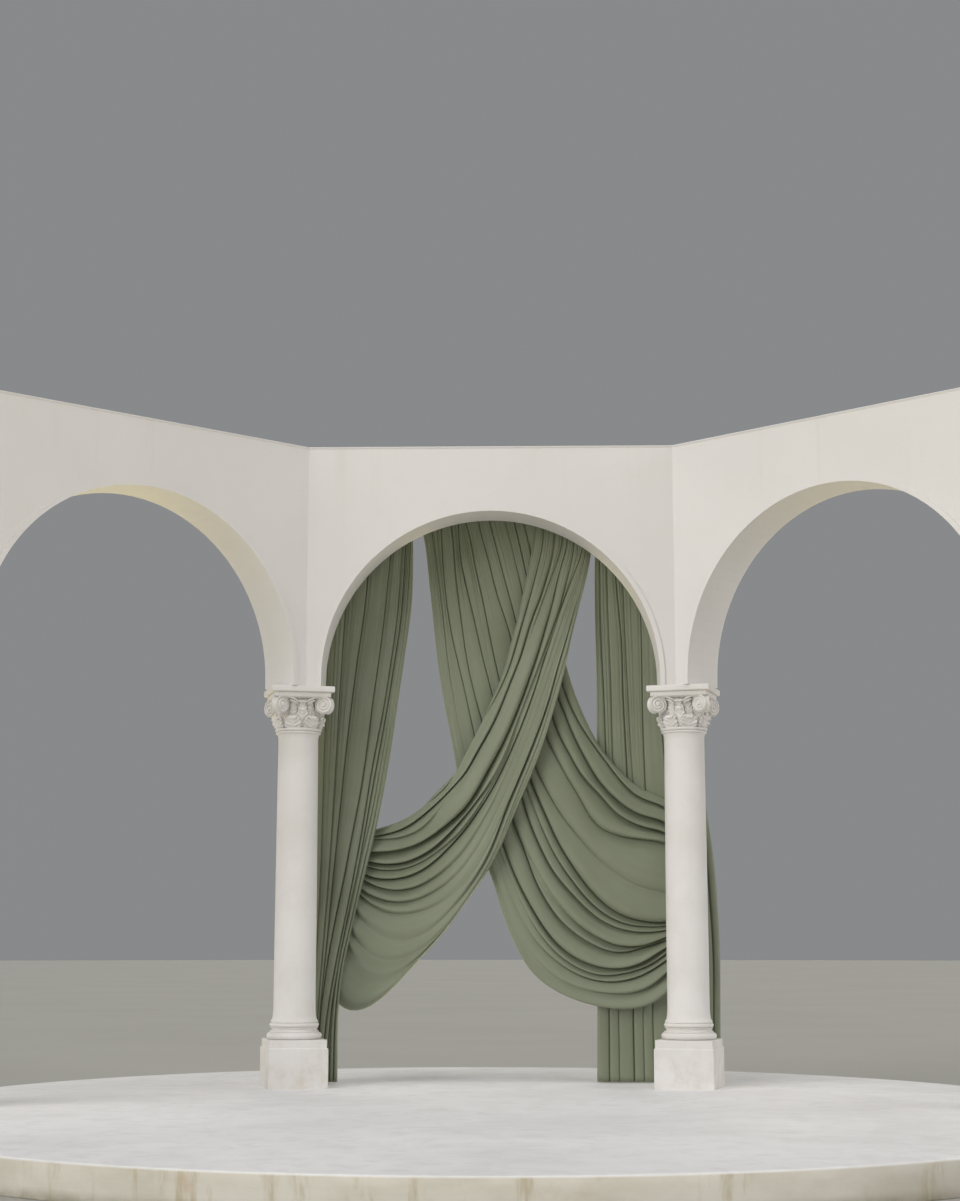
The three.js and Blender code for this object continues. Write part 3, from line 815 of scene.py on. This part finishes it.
def build_abacus(number):
    """The square slab on the capital: softened arrises and sides drawn in by a few millimetres."""
    place = column_matrix(number) @ Matrix.Translation((0, 0, ABACUS_Z))
    arris = [(0.006, 0.0), (0.0035, 0.0012), (0.0005, 0.004), (0.0, 0.007)]
    levels = [(ABACUS_HALF - inward, z) for inward, z in arris]
    levels += [(half, ABACUS_THICK - z) for half, z in reversed(levels)]
    slab = merged(f"abacus_slab_{number}", [(*square_slab(levels, sag=0.003), place)], STONE)
    sharp_where_steep(slab)
    seat(slab, f"abacus_{number}")


def build_capital(number):
    place = column_matrix(number) @ Matrix.Translation((0, 0, CAPITAL_Z))
    parts = [(points, faces, place @ own) for points, faces, own in CARVING]
    made = merged(f"composite_capital_{number}", parts, STONE)
    sharp_where_steep(made, 50)
    mark_dust_and_shade_depth(made, number)
    seat(made, f"capital_{number}")


for column in (1, 2, 3, 4):
    build_column_stack(column)
    build_capital(column)
    build_abacus(column)


# platform
def build_platform():
    """The slab, cast in a bent board: smooth round the side, its arris rubbed and a little uneven."""
    steps, arris = 480, 0.012
    side = [(PLATFORM_RADIUS - 0.004, 0.0)] + [(PLATFORM_RADIUS, z) for z in (0.004, 0.06, 0.12)]
    corner = [(PLATFORM_RADIUS - arris + arris * math.sin(a), PLATFORM_TOP - arris + arris * math.cos(a))
              for a in np.linspace(math.pi / 2, 0, 7)]
    top = [(r, PLATFORM_TOP) for r in (PLATFORM_RADIUS - 0.05, 3.0, 2.0, 1.0, 0.3, 0)]
    points, faces = turned([(0, 0.0)] + side + corner + top, steps)
    worn = []
    for x, y, z in points:
        radius = math.hypot(x, y)
        if radius > 1 and z > 0.13:
            a = math.atan2(y, x)
            rub = 0.0018 * (math.sin(23 * a) + math.sin(57 * a + 1) + math.sin(131 * a + 2)) / 3
            near_edge = max(0.0, 1 - (PLATFORM_RADIUS - radius) / 0.02)
            scale = 1 - abs(rub) * near_edge * (z > PLATFORM_TOP - 0.011) / radius
            x, y = x * scale, y * scale
        worn.append((x, y, z))
    made = piece("cast_platform", worn, faces, CONCRETE)
    sharp_where_steep(made, 60)
    seat(made, "platform")


build_platform()


# drapes
# Each fold line is read off the photograph as pixels, from the rail down. A line is written as
# (crease strengths at even steps along it, across at the rail, [(across, down), ...]). Strength 1 is a
# sharp crease and 0 is none. A strength of 2 at the end makes the crease sharp some way before it.
RAIL_DOWN = 511

LEFT_CURTAIN = [
    ([1], 324, [(318, 600), (313, 700), (310, 800), (308, 870), (304, 950), (298, 1082)]),
    ([1, .7, .5, .6], 334, [(330, 600), (326, 700), (323, 800), (319, 900), (313, 1000), (306, 1082)]),
    ([1, .8, .6, .6], 350, [(346, 600), (340, 690), (334, 790), (328, 880), (320, 980), (312, 1082)]),
    ([1, 1, .9, .8], 372, [(365, 606), (357, 662), (350, 716), (345, 760), (340, 810), (334, 870),
        (327, 940), (319, 1020), (315, 1082)]),
    ([1], 394, [(385, 610), (378, 666), (373, 700), (368, 740), (364, 770), (359, 800), (351, 840),
        (343, 882), (336, 915), (327, 965), (320, 1020), (317, 1082)]),
    ([1, 1, 1, .8], 404, [(397, 618), (389, 674), (384, 706), (377, 742), (371, 774), (366, 805),
        (360, 840), (353, 877), (345, 917), (336, 960), (326, 1020), (321, 1082)]),
    ([1], 407, [(400.5, 622), (395, 658), (388.5, 700), (382, 737), (375, 775), (371, 797), (366, 825),
        (358.8, 865), (350, 905), (341, 950), (331, 1010), (325, 1082)]),
    ([1, .4, .8, 1], 409.5, [(403.5, 600), (398.5, 645), (391, 700), (386, 735), (379, 775), (375, 797.5),
        (369, 827), (361, 860), (353.8, 893.8), (345, 931), (338, 965), (331, 1020), (329, 1082)]),
    ([1, .3, .8, 1], 411.5, [(407.5, 600), (402.5, 645), (394.5, 700), (389.5, 735), (383.5, 770),
        (379.5, 792), (372.5, 827.5), (365, 860), (357.5, 892), (349, 930), (341, 965), (335, 1015),
        (333, 1082)]),
    ([1], 413, [(412, 600), (407, 640), (398, 700), (393, 735), (387.4, 770), (383.8, 790), (376, 828),
        (366, 870), (355.6, 910), (347.5, 947.5), (343, 967.5), (338, 1010), (337, 1082)]),
]

RIGHT_CURTAIN = [
    ([1], 596.5, [(595, 560), (595, 610), (596, 650), (597, 690), (597, 740), (597.5, 900), (597.5, 1082)]),
    ([1, 1, .8], 600, [(600, 564), (601, 630), (604, 690), (606, 754), (608, 850), (610, 1082)]),
    ([1, .7, .6], 605, [(607, 570), (608, 610), (611, 680), (613, 754), (616, 850), (620, 1082)]),
    ([1], 613, [(616, 576), (617, 590), (620, 622), (622, 650), (623, 690), (625, 730), (627, 768),
        (630, 850), (635, 1082)]),
    ([1, .8, .4, .6], 621, [(622.5, 575), (624, 606), (625.5, 640), (628, 690), (632, 766), (638, 850),
        (645, 1082)]),
    ([1, 1, .9, .7], 636, [(639, 570), (641, 618), (642, 662), (643, 722), (646, 800), (655, 1082)]),
    ([1, .8, .8], 648, [(655, 600), (660, 700), (668, 800), (675, 900), (680, 1082)]),
    ([1, .8, .8], 656, [(667, 600), (678, 700), (686, 800), (695, 900), (701, 1082)]),
    ([1, .8, 1], 661, [(674, 600), (689, 700), (699, 800), (706, 860), (713, 950), (714, 1082)]),
    ([1], 666, [(680, 600), (694, 700), (705, 800), (714, 860), (720, 950), (720.5, 1018), (721, 1082)]),
]

FRONT_SWAG = [
    ([1], 534.5, [(533.6, 539.5), (527.3, 573), (522.7, 594), (517.3, 619.5), (510.9, 642), (500.9, 678.6),
        (492, 698), (483, 720), (475, 736), (466, 758), (457, 770), (445, 784), (430, 798), (422.5, 808.8),
        (405, 818.8), (388.8, 825.6), (376, 828.8), (345, 838)]),
    ([1, .8, .4, .5, .3], 543, [(542.7, 545), (537, 570), (529, 600), (520, 631), (507, 674), (489, 711),
        (470, 746), (450.5, 782), (434.5, 798), (416, 812.5), (396, 824.5), (375.5, 831.8), (345, 840)]),
    ([1], 555, [(554.5, 542), (550.5, 564), (546.4, 577), (541, 596), (534.5, 611.4), (529, 627),
        (519, 660.5), (511, 680), (504, 698), (495, 719), (484, 739), (474, 756), (465, 773), (455, 784),
        (445, 795), (430, 809), (410, 825), (397.5, 831), (385, 834.4), (375, 835.6), (345, 842)]),
    ([1, .7, .1, 0, .3, .7, .6], 562.5, [(562, 545), (555, 567), (548, 586), (543, 601), (529, 640),
        (513, 682), (497, 720), (480, 752), (462, 783), (444, 805), (428, 825), (412, 835), (395, 839.5),
        (381, 839.5), (374, 839), (345, 845)]),
    ([1, 1, .9, .9, 1, 1, 1], 568, [(567, 548.6), (562.7, 560.5), (557, 582), (551.8, 606), (545.5, 626),
        (539, 648.6), (531, 672), (524, 692), (513, 720), (500, 748), (486, 773), (470, 801), (458, 815),
        (445, 825), (430, 836.5), (415, 845), (400, 849), (385, 851.5), (371, 851), (345, 850)]),
    ([1, 1, .3, .2, .9, 1, 1], 574.5, [(573.6, 551), (567, 578.6), (560, 606), (554, 624), (538, 668),
        (521, 712), (503, 760), (494, 776), (487, 787), (475, 803), (463, 818), (450, 832), (430, 850),
        (405, 862.5), (389, 864), (379, 863.8), (369, 861), (345, 855)]),
    ([.8, .3, .1, 0, .3, .8, 1], 579, [(578, 551), (570, 580), (561, 606), (553.5, 632), (537, 676),
        (520, 718), (500, 771), (488, 792), (476, 811), (462, 830), (445, 846), (420, 863.5), (405, 868.8),
        (389, 871), (379, 870), (368, 867), (345, 859)]),
    ([1], 583.5, [(582.7, 550.5), (576, 569), (569, 587), (561.5, 607), (555.5, 624), (551, 639.5),
        (545.5, 655), (538, 680), (528, 709), (516, 739), (504, 766), (491, 791), (474, 817), (458, 838),
        (448, 848), (435, 861), (422.5, 870), (410, 876), (395, 879), (378.8, 879), (366.9, 876),
        (345, 863)]),
    ([.8, .3, 0, 0, .2, .9, 1], 586.5, [(585.5, 552), (579, 577), (567, 607), (549, 662), (532, 713),
        (515, 757), (496, 799), (478, 832), (458, 860), (441, 873.8), (427.5, 882.5), (412.5, 888.8),
        (397.5, 890), (382.5, 888.8), (372.5, 883.8), (364, 880), (345, 868)]),
    ([.4, .1, 0, 0, .1, .7, 1], 588.5, [(587, 553), (582, 577), (570, 612), (551.5, 668), (534, 722),
        (518, 765), (499, 808), (481, 843), (460, 873), (441, 888.8), (427.5, 896), (412.5, 902),
        (397.5, 903), (385, 901), (372.5, 896), (361.9, 890.6), (345, 873)]),
    ([.4, .1, 0, 0, 0, .5, 2], 590, [(588, 553), (584, 577), (572, 616), (553, 674), (537, 729), (521, 772),
        (501, 817), (484, 854), (462, 885), (441, 904), (427.5, 910), (412.5, 914), (397.5, 915),
        (385, 912.5), (371, 905), (361, 897), (345, 878)]),
    ([1, 1, .9, .5, .1, .1, 2], 591, [(588.5, 553), (586, 562), (580, 587.7), (572.7, 616), (565.5, 642),
        (557, 669.5), (549, 700), (536, 736), (523, 768), (506, 808), (488, 856), (467, 890), (446, 916),
        (425, 934), (397.5, 942.5), (385, 938), (376, 932.5), (366, 925), (357, 913.8), (345, 893)]),
    ([.3, .1, 0, 0, 0, 0, 2], 592.5, [(590, 554), (587, 568), (582, 593), (574.5, 622), (568, 650),
        (559, 678), (541, 738), (529, 768), (511, 812), (495, 853), (472, 892), (450, 922), (427, 945),
        (405, 958), (388, 962), (373, 957), (360, 945), (352.5, 935), (340, 905)]),
    ([.2, 0, 0, 0, 0, 0, 2], 593.2, [(590.5, 555), (587, 572), (581.5, 595), (575, 622), (568.5, 648),
        (560, 682), (543.5, 738), (533, 765), (515, 806), (498, 850), (473.5, 890), (450.5, 922.5),
        (432, 943), (413, 961), (393, 974), (374, 976), (358, 963), (348, 948), (336, 912)]),
    ([1], 594, [(591, 556), (587, 576), (581, 598), (575, 622), (569, 646), (566, 664), (561, 686),
        (554, 710), (546, 736), (537, 762), (521, 799), (509, 827), (501, 847), (487, 873), (475, 889),
        (451, 923), (437, 941), (421, 957), (405, 975), (388, 993), (368, 1009), (348, 1014), (332, 1000),
        (325, 960), (326, 920)]),
]

BACK_SWAG = [
    ([1], 419.3, [(425.5, 545), (429, 580), (432, 606), (435, 638), (439, 670), (444, 702), (449, 726),
        (453, 746), (457, 772), (466, 808), (477, 840), (487, 866), (495, 885), (501, 909), (511, 935),
        (521, 955), (531, 972), (555, 990), (585, 1002), (618, 1008), (646, 1006), (660, 1000),
        (668, 990)]),
    ([.4, .1, 0, 0, 0, .3, .9], 425, [(430, 545), (437, 606), (443, 670), (453, 728), (464, 778),
        (476, 824), (490, 862), (504, 900), (517, 932), (537, 961), (562, 982), (590, 991), (620, 994),
        (645, 990), (660, 978), (668, 969)]),
    ([1, .8, .2, 0, .1, .8, 1], 430, [(434, 545), (442, 606), (449, 670), (460, 730), (471, 775),
        (484, 820), (498, 862), (510, 893), (522, 920), (540, 947), (565, 968), (585, 978), (609, 982),
        (633, 978), (650, 971), (667, 958)]),
    ([.5, .2, 0, 0, .1, .8, 1], 435.5, [(439, 560), (446, 616), (456, 676), (467, 733), (478, 779),
        (493, 831), (504, 862), (515, 888), (526, 912), (541, 936), (561, 957), (581, 969), (600, 975),
        (622, 973), (644, 967), (658, 959), (667, 951)]),
    ([1, 1, .9, .8, 1, 1, 1], 441, [(444, 576), (451, 630), (463, 682), (475, 736), (486, 783), (503, 843),
        (509, 859), (519, 883), (531, 905), (543, 925), (557, 943), (577, 958), (599, 966), (619, 967),
        (637, 963), (652, 954), (666.5, 945.6)]),
    ([1], 450, [(453, 540), (455, 570), (460, 610), (467, 660), (475, 696), (483, 724), (495, 767),
        (513, 821), (518, 833), (525, 850), (535, 879), (547, 901), (559, 918), (577, 934), (598, 946),
        (611, 951), (626, 952), (644, 946), (665.5, 940)]),
    ([.6, .2, 0, 0, .1, .8, 1], 454, [(457, 550), (462, 595), (470, 645), (479, 696), (488, 733),
        (503, 786), (519, 833), (530, 857), (542, 880), (555, 900), (570, 917), (586, 930), (602, 939),
        (618, 945), (636, 945), (653, 941), (665, 936)]),
    ([1, 1, 1, .9, 1, 1, 1], 458, [(461, 560), (469, 596), (475, 622), (483, 658), (493, 696), (505, 740),
        (522.5, 799), (528, 816), (536, 836), (545, 855), (555, 873), (569, 889), (583, 904), (599, 918),
        (615, 926), (635, 931), (652, 931), (664, 930)]),
    ([.6, .3, .1, .2, .6, 1, 1], 461, [(464, 540), (470, 568), (478, 606), (486, 645), (496, 688),
        (509, 735), (526, 789), (534, 808), (542, 828), (552, 849), (562, 866), (575, 883), (588, 899),
        (602, 911), (617, 920), (635, 925), (652, 926), (664, 926)]),
    ([1], 464, [(466, 522), (471, 540), (475, 564), (481, 590), (487, 620), (493, 650), (500, 680),
        (513, 730), (530, 778), (539, 799), (549, 821), (559, 843), (569, 859), (581, 877), (595, 894),
        (609, 907), (625, 916), (645, 921), (663, 922)]),
    ([1, 1, 1, .7, .5, .3, .2], 477, [(479, 526), (489, 562), (497, 594), (512, 640), (521, 700),
        (535, 767), (545, 786), (555, 805), (565, 820), (580, 838), (595, 856), (611, 869), (632, 884),
        (665, 893)]),
    ([1, 1, 1, .7, .5, .7, .5], 488, [(491, 526), (501, 564), (509, 594), (517, 624), (532, 690),
        (545.5, 736), (555, 754), (565, 773), (580, 798), (593, 821), (607, 832), (633, 838), (665, 842)]),
    ([1, 1, 1, .8, .9, 1, 1], 503, [(507, 528), (515, 560), (523, 593), (537, 660), (553, 719), (560, 736),
        (570, 754), (580, 772), (587, 781), (601, 795), (615, 811), (627, 819), (645, 826), (665, 830)]),
    ([1], 513, [(516, 528), (522, 554), (529, 584), (542, 640), (558, 698), (564, 711), (570, 726),
        (580, 747), (590, 765), (597, 777), (609, 791), (624, 804), (642, 814), (665, 819)]),
    ([1], 522, [(525, 526), (531, 550), (539, 590), (550, 640), (562, 684), (569, 702), (579, 722),
        (593, 744), (605, 760), (619, 778), (638, 796), (665, 806)]),
    ([1], 540, [(541, 528), (544, 565), (550, 605), (558, 640), (566, 664), (571, 682), (579, 704),
        (589, 726), (597, 742), (607, 756), (625, 776), (643, 790), (665, 798)]),
]


def ease(value, low, high):
    """Rises gently from 0 at low to 1 at high."""
    t = np.clip((value - low) / (high - low), 0, 1)
    return t * t * (3 - 2 * t)


def eased_along(track, spread):
    """Takes the small shake of the hand out of a line and keeps its ends."""
    reach = int(3 * spread)
    head = 2 * track[0] - track[reach:0:-1]
    tail = 2 * track[-1] - track[-2:-reach - 2:-1]
    weights = np.exp(-0.5 * (np.arange(-reach, reach + 1) / spread) ** 2)
    weights /= weights.sum()
    longer = np.vstack([head, track, tail])
    return np.column_stack([np.convolve(longer[:, k], weights, "valid") for k in range(3)])


def slow_noise(rng, rows):
    """A slow unevenness along a fold, between about -1 and 1."""
    t = np.linspace(0, 1, rows)
    waves = [np.sin(2 * math.pi * (rng.uniform(0.3, 0.9) * i * t + rng.uniform())) / i for i in (1, 2, 3)]
    return sum(waves) / 1.8


def small_creases(rng, many, fine_to):
    """Fine creases between two fold lines: place across, depth, width, how far down and drift."""
    return [((i + rng.uniform(0.25, 0.75)) / many, rng.uniform(0.003, 0.009), rng.uniform(0.0024, 0.0036),
             rng.uniform(0.4, 1) * fine_to, rng.uniform(-0.10, 0.10)) for i in range(many)]


TUCK_DEEP, SMALL_CREASE_APART = 0.011, 0.0125


def fold_tracks(lines, depth, ends, rows):
    """The fold lines as smooth tracks in space, and how sharp the crease is all along each."""
    tracks, creases = [], []
    for number, (strength, at_rail, below) in enumerate(lines):
        points = [on_plane(*pixel, depth(*pixel)) for pixel in [(at_rail, RAIL_DOWN), *below]]
        points[0][2] = RAIL_Z - RAIL_RADIUS - 0.012
        points += [np.array(p) for p in (ends[number] if ends else [])]
        tracks.append(eased_along(smooth_line(points, rows), rows * 0.018))
        sharpness = np.interp(np.linspace(0, 1, rows), np.linspace(0, 1, len(strength)), strength)
        creases.append(np.minimum(1, sharpness))
    return np.array(tracks), np.array(creases)


def fold_grid(lines, depth, ends, rows, per_fold, lean, seed, opening):
    """Points between the fold lines, and how far each stands out. High up the folds are flat tucks between
    thin creases. They open into broader folds from open_from to open_by of the way down, rounder and deeper
    with more roll, and the small creases between them end by fine_to."""
    open_from, open_by, roll, fine_to = opening
    rng = np.random.default_rng(seed)
    tracks, creases = fold_tracks(lines, depth, ends, rows)
    gaps = np.linalg.norm(np.diff(tracks, axis=0), axis=2)
    padded = np.concatenate([2 * tracks[:1] - tracks[1:2], tracks, 2 * tracks[-1:] - tracks[-2:-1]])
    t = np.linspace(0, 1, rows)
    opened = ease(t, open_from, open_by)
    tuck = np.minimum(TUCK_DEEP, 0.18 * gaps)
    low_down = ease(t, open_by - 0.05, open_by + 0.25) * roll
    deepest = 0.016 + 0.040 * roll + 0.024 * low_down
    swell = np.minimum(deepest, (0.24 + 0.46 * roll + 0.30 * low_down) * gaps)
    swell = swell * np.array([1 + 0.16 * slow_noise(rng, rows) for _ in gaps])
    height = tuck * (1 - opened) + swell * opened
    floor = np.zeros_like(creases)
    floor[1:-1] = (1 - creases[1:-1]) * (height[:-1] + height[1:]) * 0.48
    shares = (1 - np.cos(np.linspace(0, math.pi, per_fold + 1))) / 2
    shares = 0.62 * shares + 0.38 * np.linspace(0, 1, per_fold + 1)
    skew = 1 + (lean - 1) * (0.35 + 0.65 * opened)
    fullness = 0.40 + (0.08 + 0.22 * roll) * opened + 0.50 * low_down
    overlap = math.copysign(1, lean - 1) * (0.22 + 0.20 * low_down)
    base, lift = [], []
    for k in range(len(lines) - 1):
        p0, p1, p2, p3 = padded[k:k + 4]
        many = max(1, int(gaps[k, :rows // 2].mean() / SMALL_CREASE_APART))
        small = small_creases(rng, many, fine_to)
        for s in shares[:-1] if k < len(lines) - 2 else shares:
            curve = 0.5 * (2 * p1 + (p2 - p0) * s + (2 * p0 - 5 * p1 + 4 * p2 - p3) * s ** 2
                           + (3 * p1 - p0 - 3 * p2 + p3) * s ** 3)
            low = floor[k] * (1 - s) + floor[k + 1] * s
            crest = np.clip(np.sin(math.pi * s ** skew), 0, 1) ** fullness
            rise = np.maximum(height[k] - low, 0) * crest
            between_lines = 0.6 * (p1 * (1 - s) + p2 * s) + 0.4 * curve
            base.append(between_lines + (p2 - p1) * (overlap * rise / gaps[k])[:, None])
            rise = rise + low
            for edge, crease in ((s, creases[k]), (1 - s, creases[k + 1])):
                groove = np.exp(-(edge * gaps[k] / (0.0028 + 0.0016 * opened)) ** 2)
                rise = rise - (0.015 + 0.007 * opened * roll) * crease ** 2 * groove
            for at, depth_of, width, until, drift in small:
                line_at = (at + drift * t - s) * gaps[k]
                fade = 1 - ease(t, until * 0.4, until)
                rise = rise - depth_of * fade * np.exp(-(line_at / width) ** 2)
            lift.append(rise)
    base = np.array(base).transpose(1, 0, 2)
    return base, np.array(lift).T


def rail_pocket(first, lift):
    """Rows of cloth that run up behind the rail, over it and down the front, to the first hanging row."""
    def row_at(y, z):
        return np.column_stack([first[:, 0], np.full(len(first), y), np.full(len(first), z)])

    ring = RAIL_RADIUS + 0.0035
    rows = [row_at(RAIL_Y + 0.010, RAIL_Z - 0.045)]
    for angle in np.linspace(-0.25 * math.pi, 1.2 * math.pi, 12):
        out = (0, math.cos(angle), math.sin(angle))
        rows.append(row_at(RAIL_Y + ring * out[1], RAIL_Z + ring * out[2]) + np.outer(lift * 0.35, out))
    return np.array(rows)


def build_drape(name, node, lines, depth, ends, seed, lean, opening, per_fold, rows):
    """One cloth: its pocket over the rail and its hanging folds, with the cloth's own lengths as its UV."""
    base, lift = fold_grid(lines, depth, ends, rows, per_fold, lean, seed, opening)
    hanging = base - lift[:, :, None] * np.array([0, 1.0, 0])
    grid = np.concatenate([rail_pocket(base[0], lift[0]), hanging])
    high, wide = grid.shape[:2]
    made = piece(name, grid.reshape(-1, 3), grid_faces(high, wide), CLOTH)
    run_down = np.concatenate([[0], np.cumsum(np.linalg.norm(np.diff(grid, axis=0), axis=2).mean(axis=1))])
    run_over = np.concatenate([[0], np.cumsum(np.linalg.norm(np.diff(grid, axis=1), axis=2).mean(axis=0))])
    uv = made.data.uv_layers.new(name="cloth")
    corner = np.empty(len(made.data.loops), int)
    made.data.loops.foreach_get("vertex_index", corner)
    table = np.column_stack([np.tile(run_over, high), np.repeat(run_down, wide)])
    uv.data.foreach_set("uv", table[corner].ravel())
    from_edge = np.minimum(np.minimum(table[:, 0], run_over[-1] - table[:, 0]), run_down[-1] - table[:, 1])
    made.data.attributes.new("from_edge", "FLOAT", "POINT").data.foreach_set("value", from_edge)
    thick = made.modifiers.new("cloth thickness", "SOLIDIFY")
    thick.thickness = 0.002
    thick.offset = 0
    seat(made, node)


def curtain_depth(low_depth):
    """Depth of a curtain's lines: from the rail to one depth low down, which they then keep."""
    def depth(across, down):
        return RAIL_Y + (low_depth - RAIL_Y) * ease(down, RAIL_DOWN, 640)
    return depth


def front_depth(across, down):
    return RAIL_Y + 0.014 * ease(down, RAIL_DOWN, 640) + 0.150 * ease(462 - across, 0, 82)


def back_depth(across, down):
    return RAIL_Y + 0.044 * ease(down, RAIL_DOWN, 560) + 0.062 * ease(down, 550, 640)


def tied(lines, depth, column, sign, squeeze):
    """Last points of a swag: round behind its column, closing up a little towards its band."""
    foot = column_matrix(column).to_translation()
    heights = [on_plane(*below[-1], depth(*below[-1]))[2] for _, _, below in lines]
    middle = sum(heights) / len(heights)
    round_column = [(-0.045, 1.800, 0.3), (0.015, 1.720, 0.7), (0.03, 1.645, 1.0)]
    return [[(foot.x + sign * beyond, back, own + squeeze * closed * (middle - own))
             for beyond, back, closed in round_column] for own in heights]


build_drape("left_drape", "curtain_left", LEFT_CURTAIN, curtain_depth(1.752), None,
            seed=21, lean=1.1, opening=(0.1, 0.6, 0.2, 0.9), per_fold=22, rows=84)
build_drape("right_drape", "curtain_right", RIGHT_CURTAIN, curtain_depth(1.860), None,
            seed=22, lean=0.9, opening=(0.1, 0.6, 0.0, 0.9), per_fold=22, rows=84)
build_drape("front_swag_drape", "swag_front", FRONT_SWAG, front_depth,
            tied(FRONT_SWAG, front_depth, 2, -1, 0.3),
            seed=23, lean=1.6, opening=(0.08, 0.36, 0.85, 0.30), per_fold=24, rows=98)
build_drape("back_swag_drape", "swag_back", BACK_SWAG, back_depth, tied(BACK_SWAG, back_depth, 3, 1, 0.4),
            seed=24, lean=0.62, opening=(0.35, 0.62, 1.0, 0.28), per_fold=23, rows=98)


# floor, light and air
def build_floor():
    """A pale floor that reaches to the horizon, just under the platform."""
    material, tree, shader, place = new_finish("pale studio floor")
    worn = between(tree, cloudy(tree, place, 0.4, 3), 0.3, 0.7)
    colour = tint(tree, worn, (0.38, 0.37, 0.34, 1), (0.40, 0.39, 0.36, 1))
    fill(tree, shader, {"Base Color": colour, "Roughness": 0.9})
    steps, radius = 96, 90.0
    angles = [2 * math.pi * i / steps for i in range(steps)]
    points = [(radius * math.cos(a), radius * math.sin(a), -0.0005) for a in angles]
    floor = piece("studio_floor", points, [tuple(range(steps))], material, smooth=False)


def new_light(name, kind, strength, colour):
    lamp = bpy.data.lights.new(name, kind)
    lamp.energy = strength
    lamp.color = colour
    return in_scene(bpy.data.objects.new(name, lamp))


def soft_sun(name, comes_from, spread, strength, colour):
    made = new_light(name, "SUN", strength, colour)
    made.data.angle = math.radians(spread)
    made.rotation_euler = Vector(comes_from).to_track_quat("Z", "Y").to_euler()


def low_card(name, at, size, watts, colour):
    """A large glowing card flat on the floor that sends soft light up under the arches."""
    made = new_light(name, "AREA", watts, colour)
    made.data.shape = "RECTANGLE"
    made.data.size, made.data.size_y = size
    made.location = at
    made.rotation_euler = (math.pi, 0, 0)
    made.visible_camera = False


build_floor()
soft_sun("key_light", (-0.62, -0.72, 0.36), 34, 0.98, (1.0, 0.995, 0.98))
soft_sun("top_light", (-0.15, -0.40, 1.00), 36, 0.88, (1.0, 1.0, 0.995))
soft_sun("fill_light", (1.00, -0.36, 0.26), 50, 1.15, (1.0, 0.985, 0.95))
soft_sun("warm_low_light", (-0.80, -0.50, 0.12), 40, 0.60, (1.0, 0.96, 0.84))
soft_sun("warm_back_light", (0.25, 0.90, 0.35), 60, 0.5, (1.0, 0.92, 0.72))
low_card("warm_card_behind", (-2.6, 6.5, 0.02), (12, 5), 540, (1.0, 0.86, 0.34))
low_card("warm_card_in_front", (0.0, -6.5, 0.02), (12, 4), 170, (1.0, 0.90, 0.56))

world = bpy.data.worlds.new("studio air")
world.use_nodes = True
air = world.node_tree.nodes["Background"]
air.inputs["Color"].default_value = (0.95, 0.97, 1.0, 1.0)
air.inputs["Strength"].default_value = 0.26
bpy.context.scene.world = world
bpy.context.scene.view_settings.view_transform = "Standard"
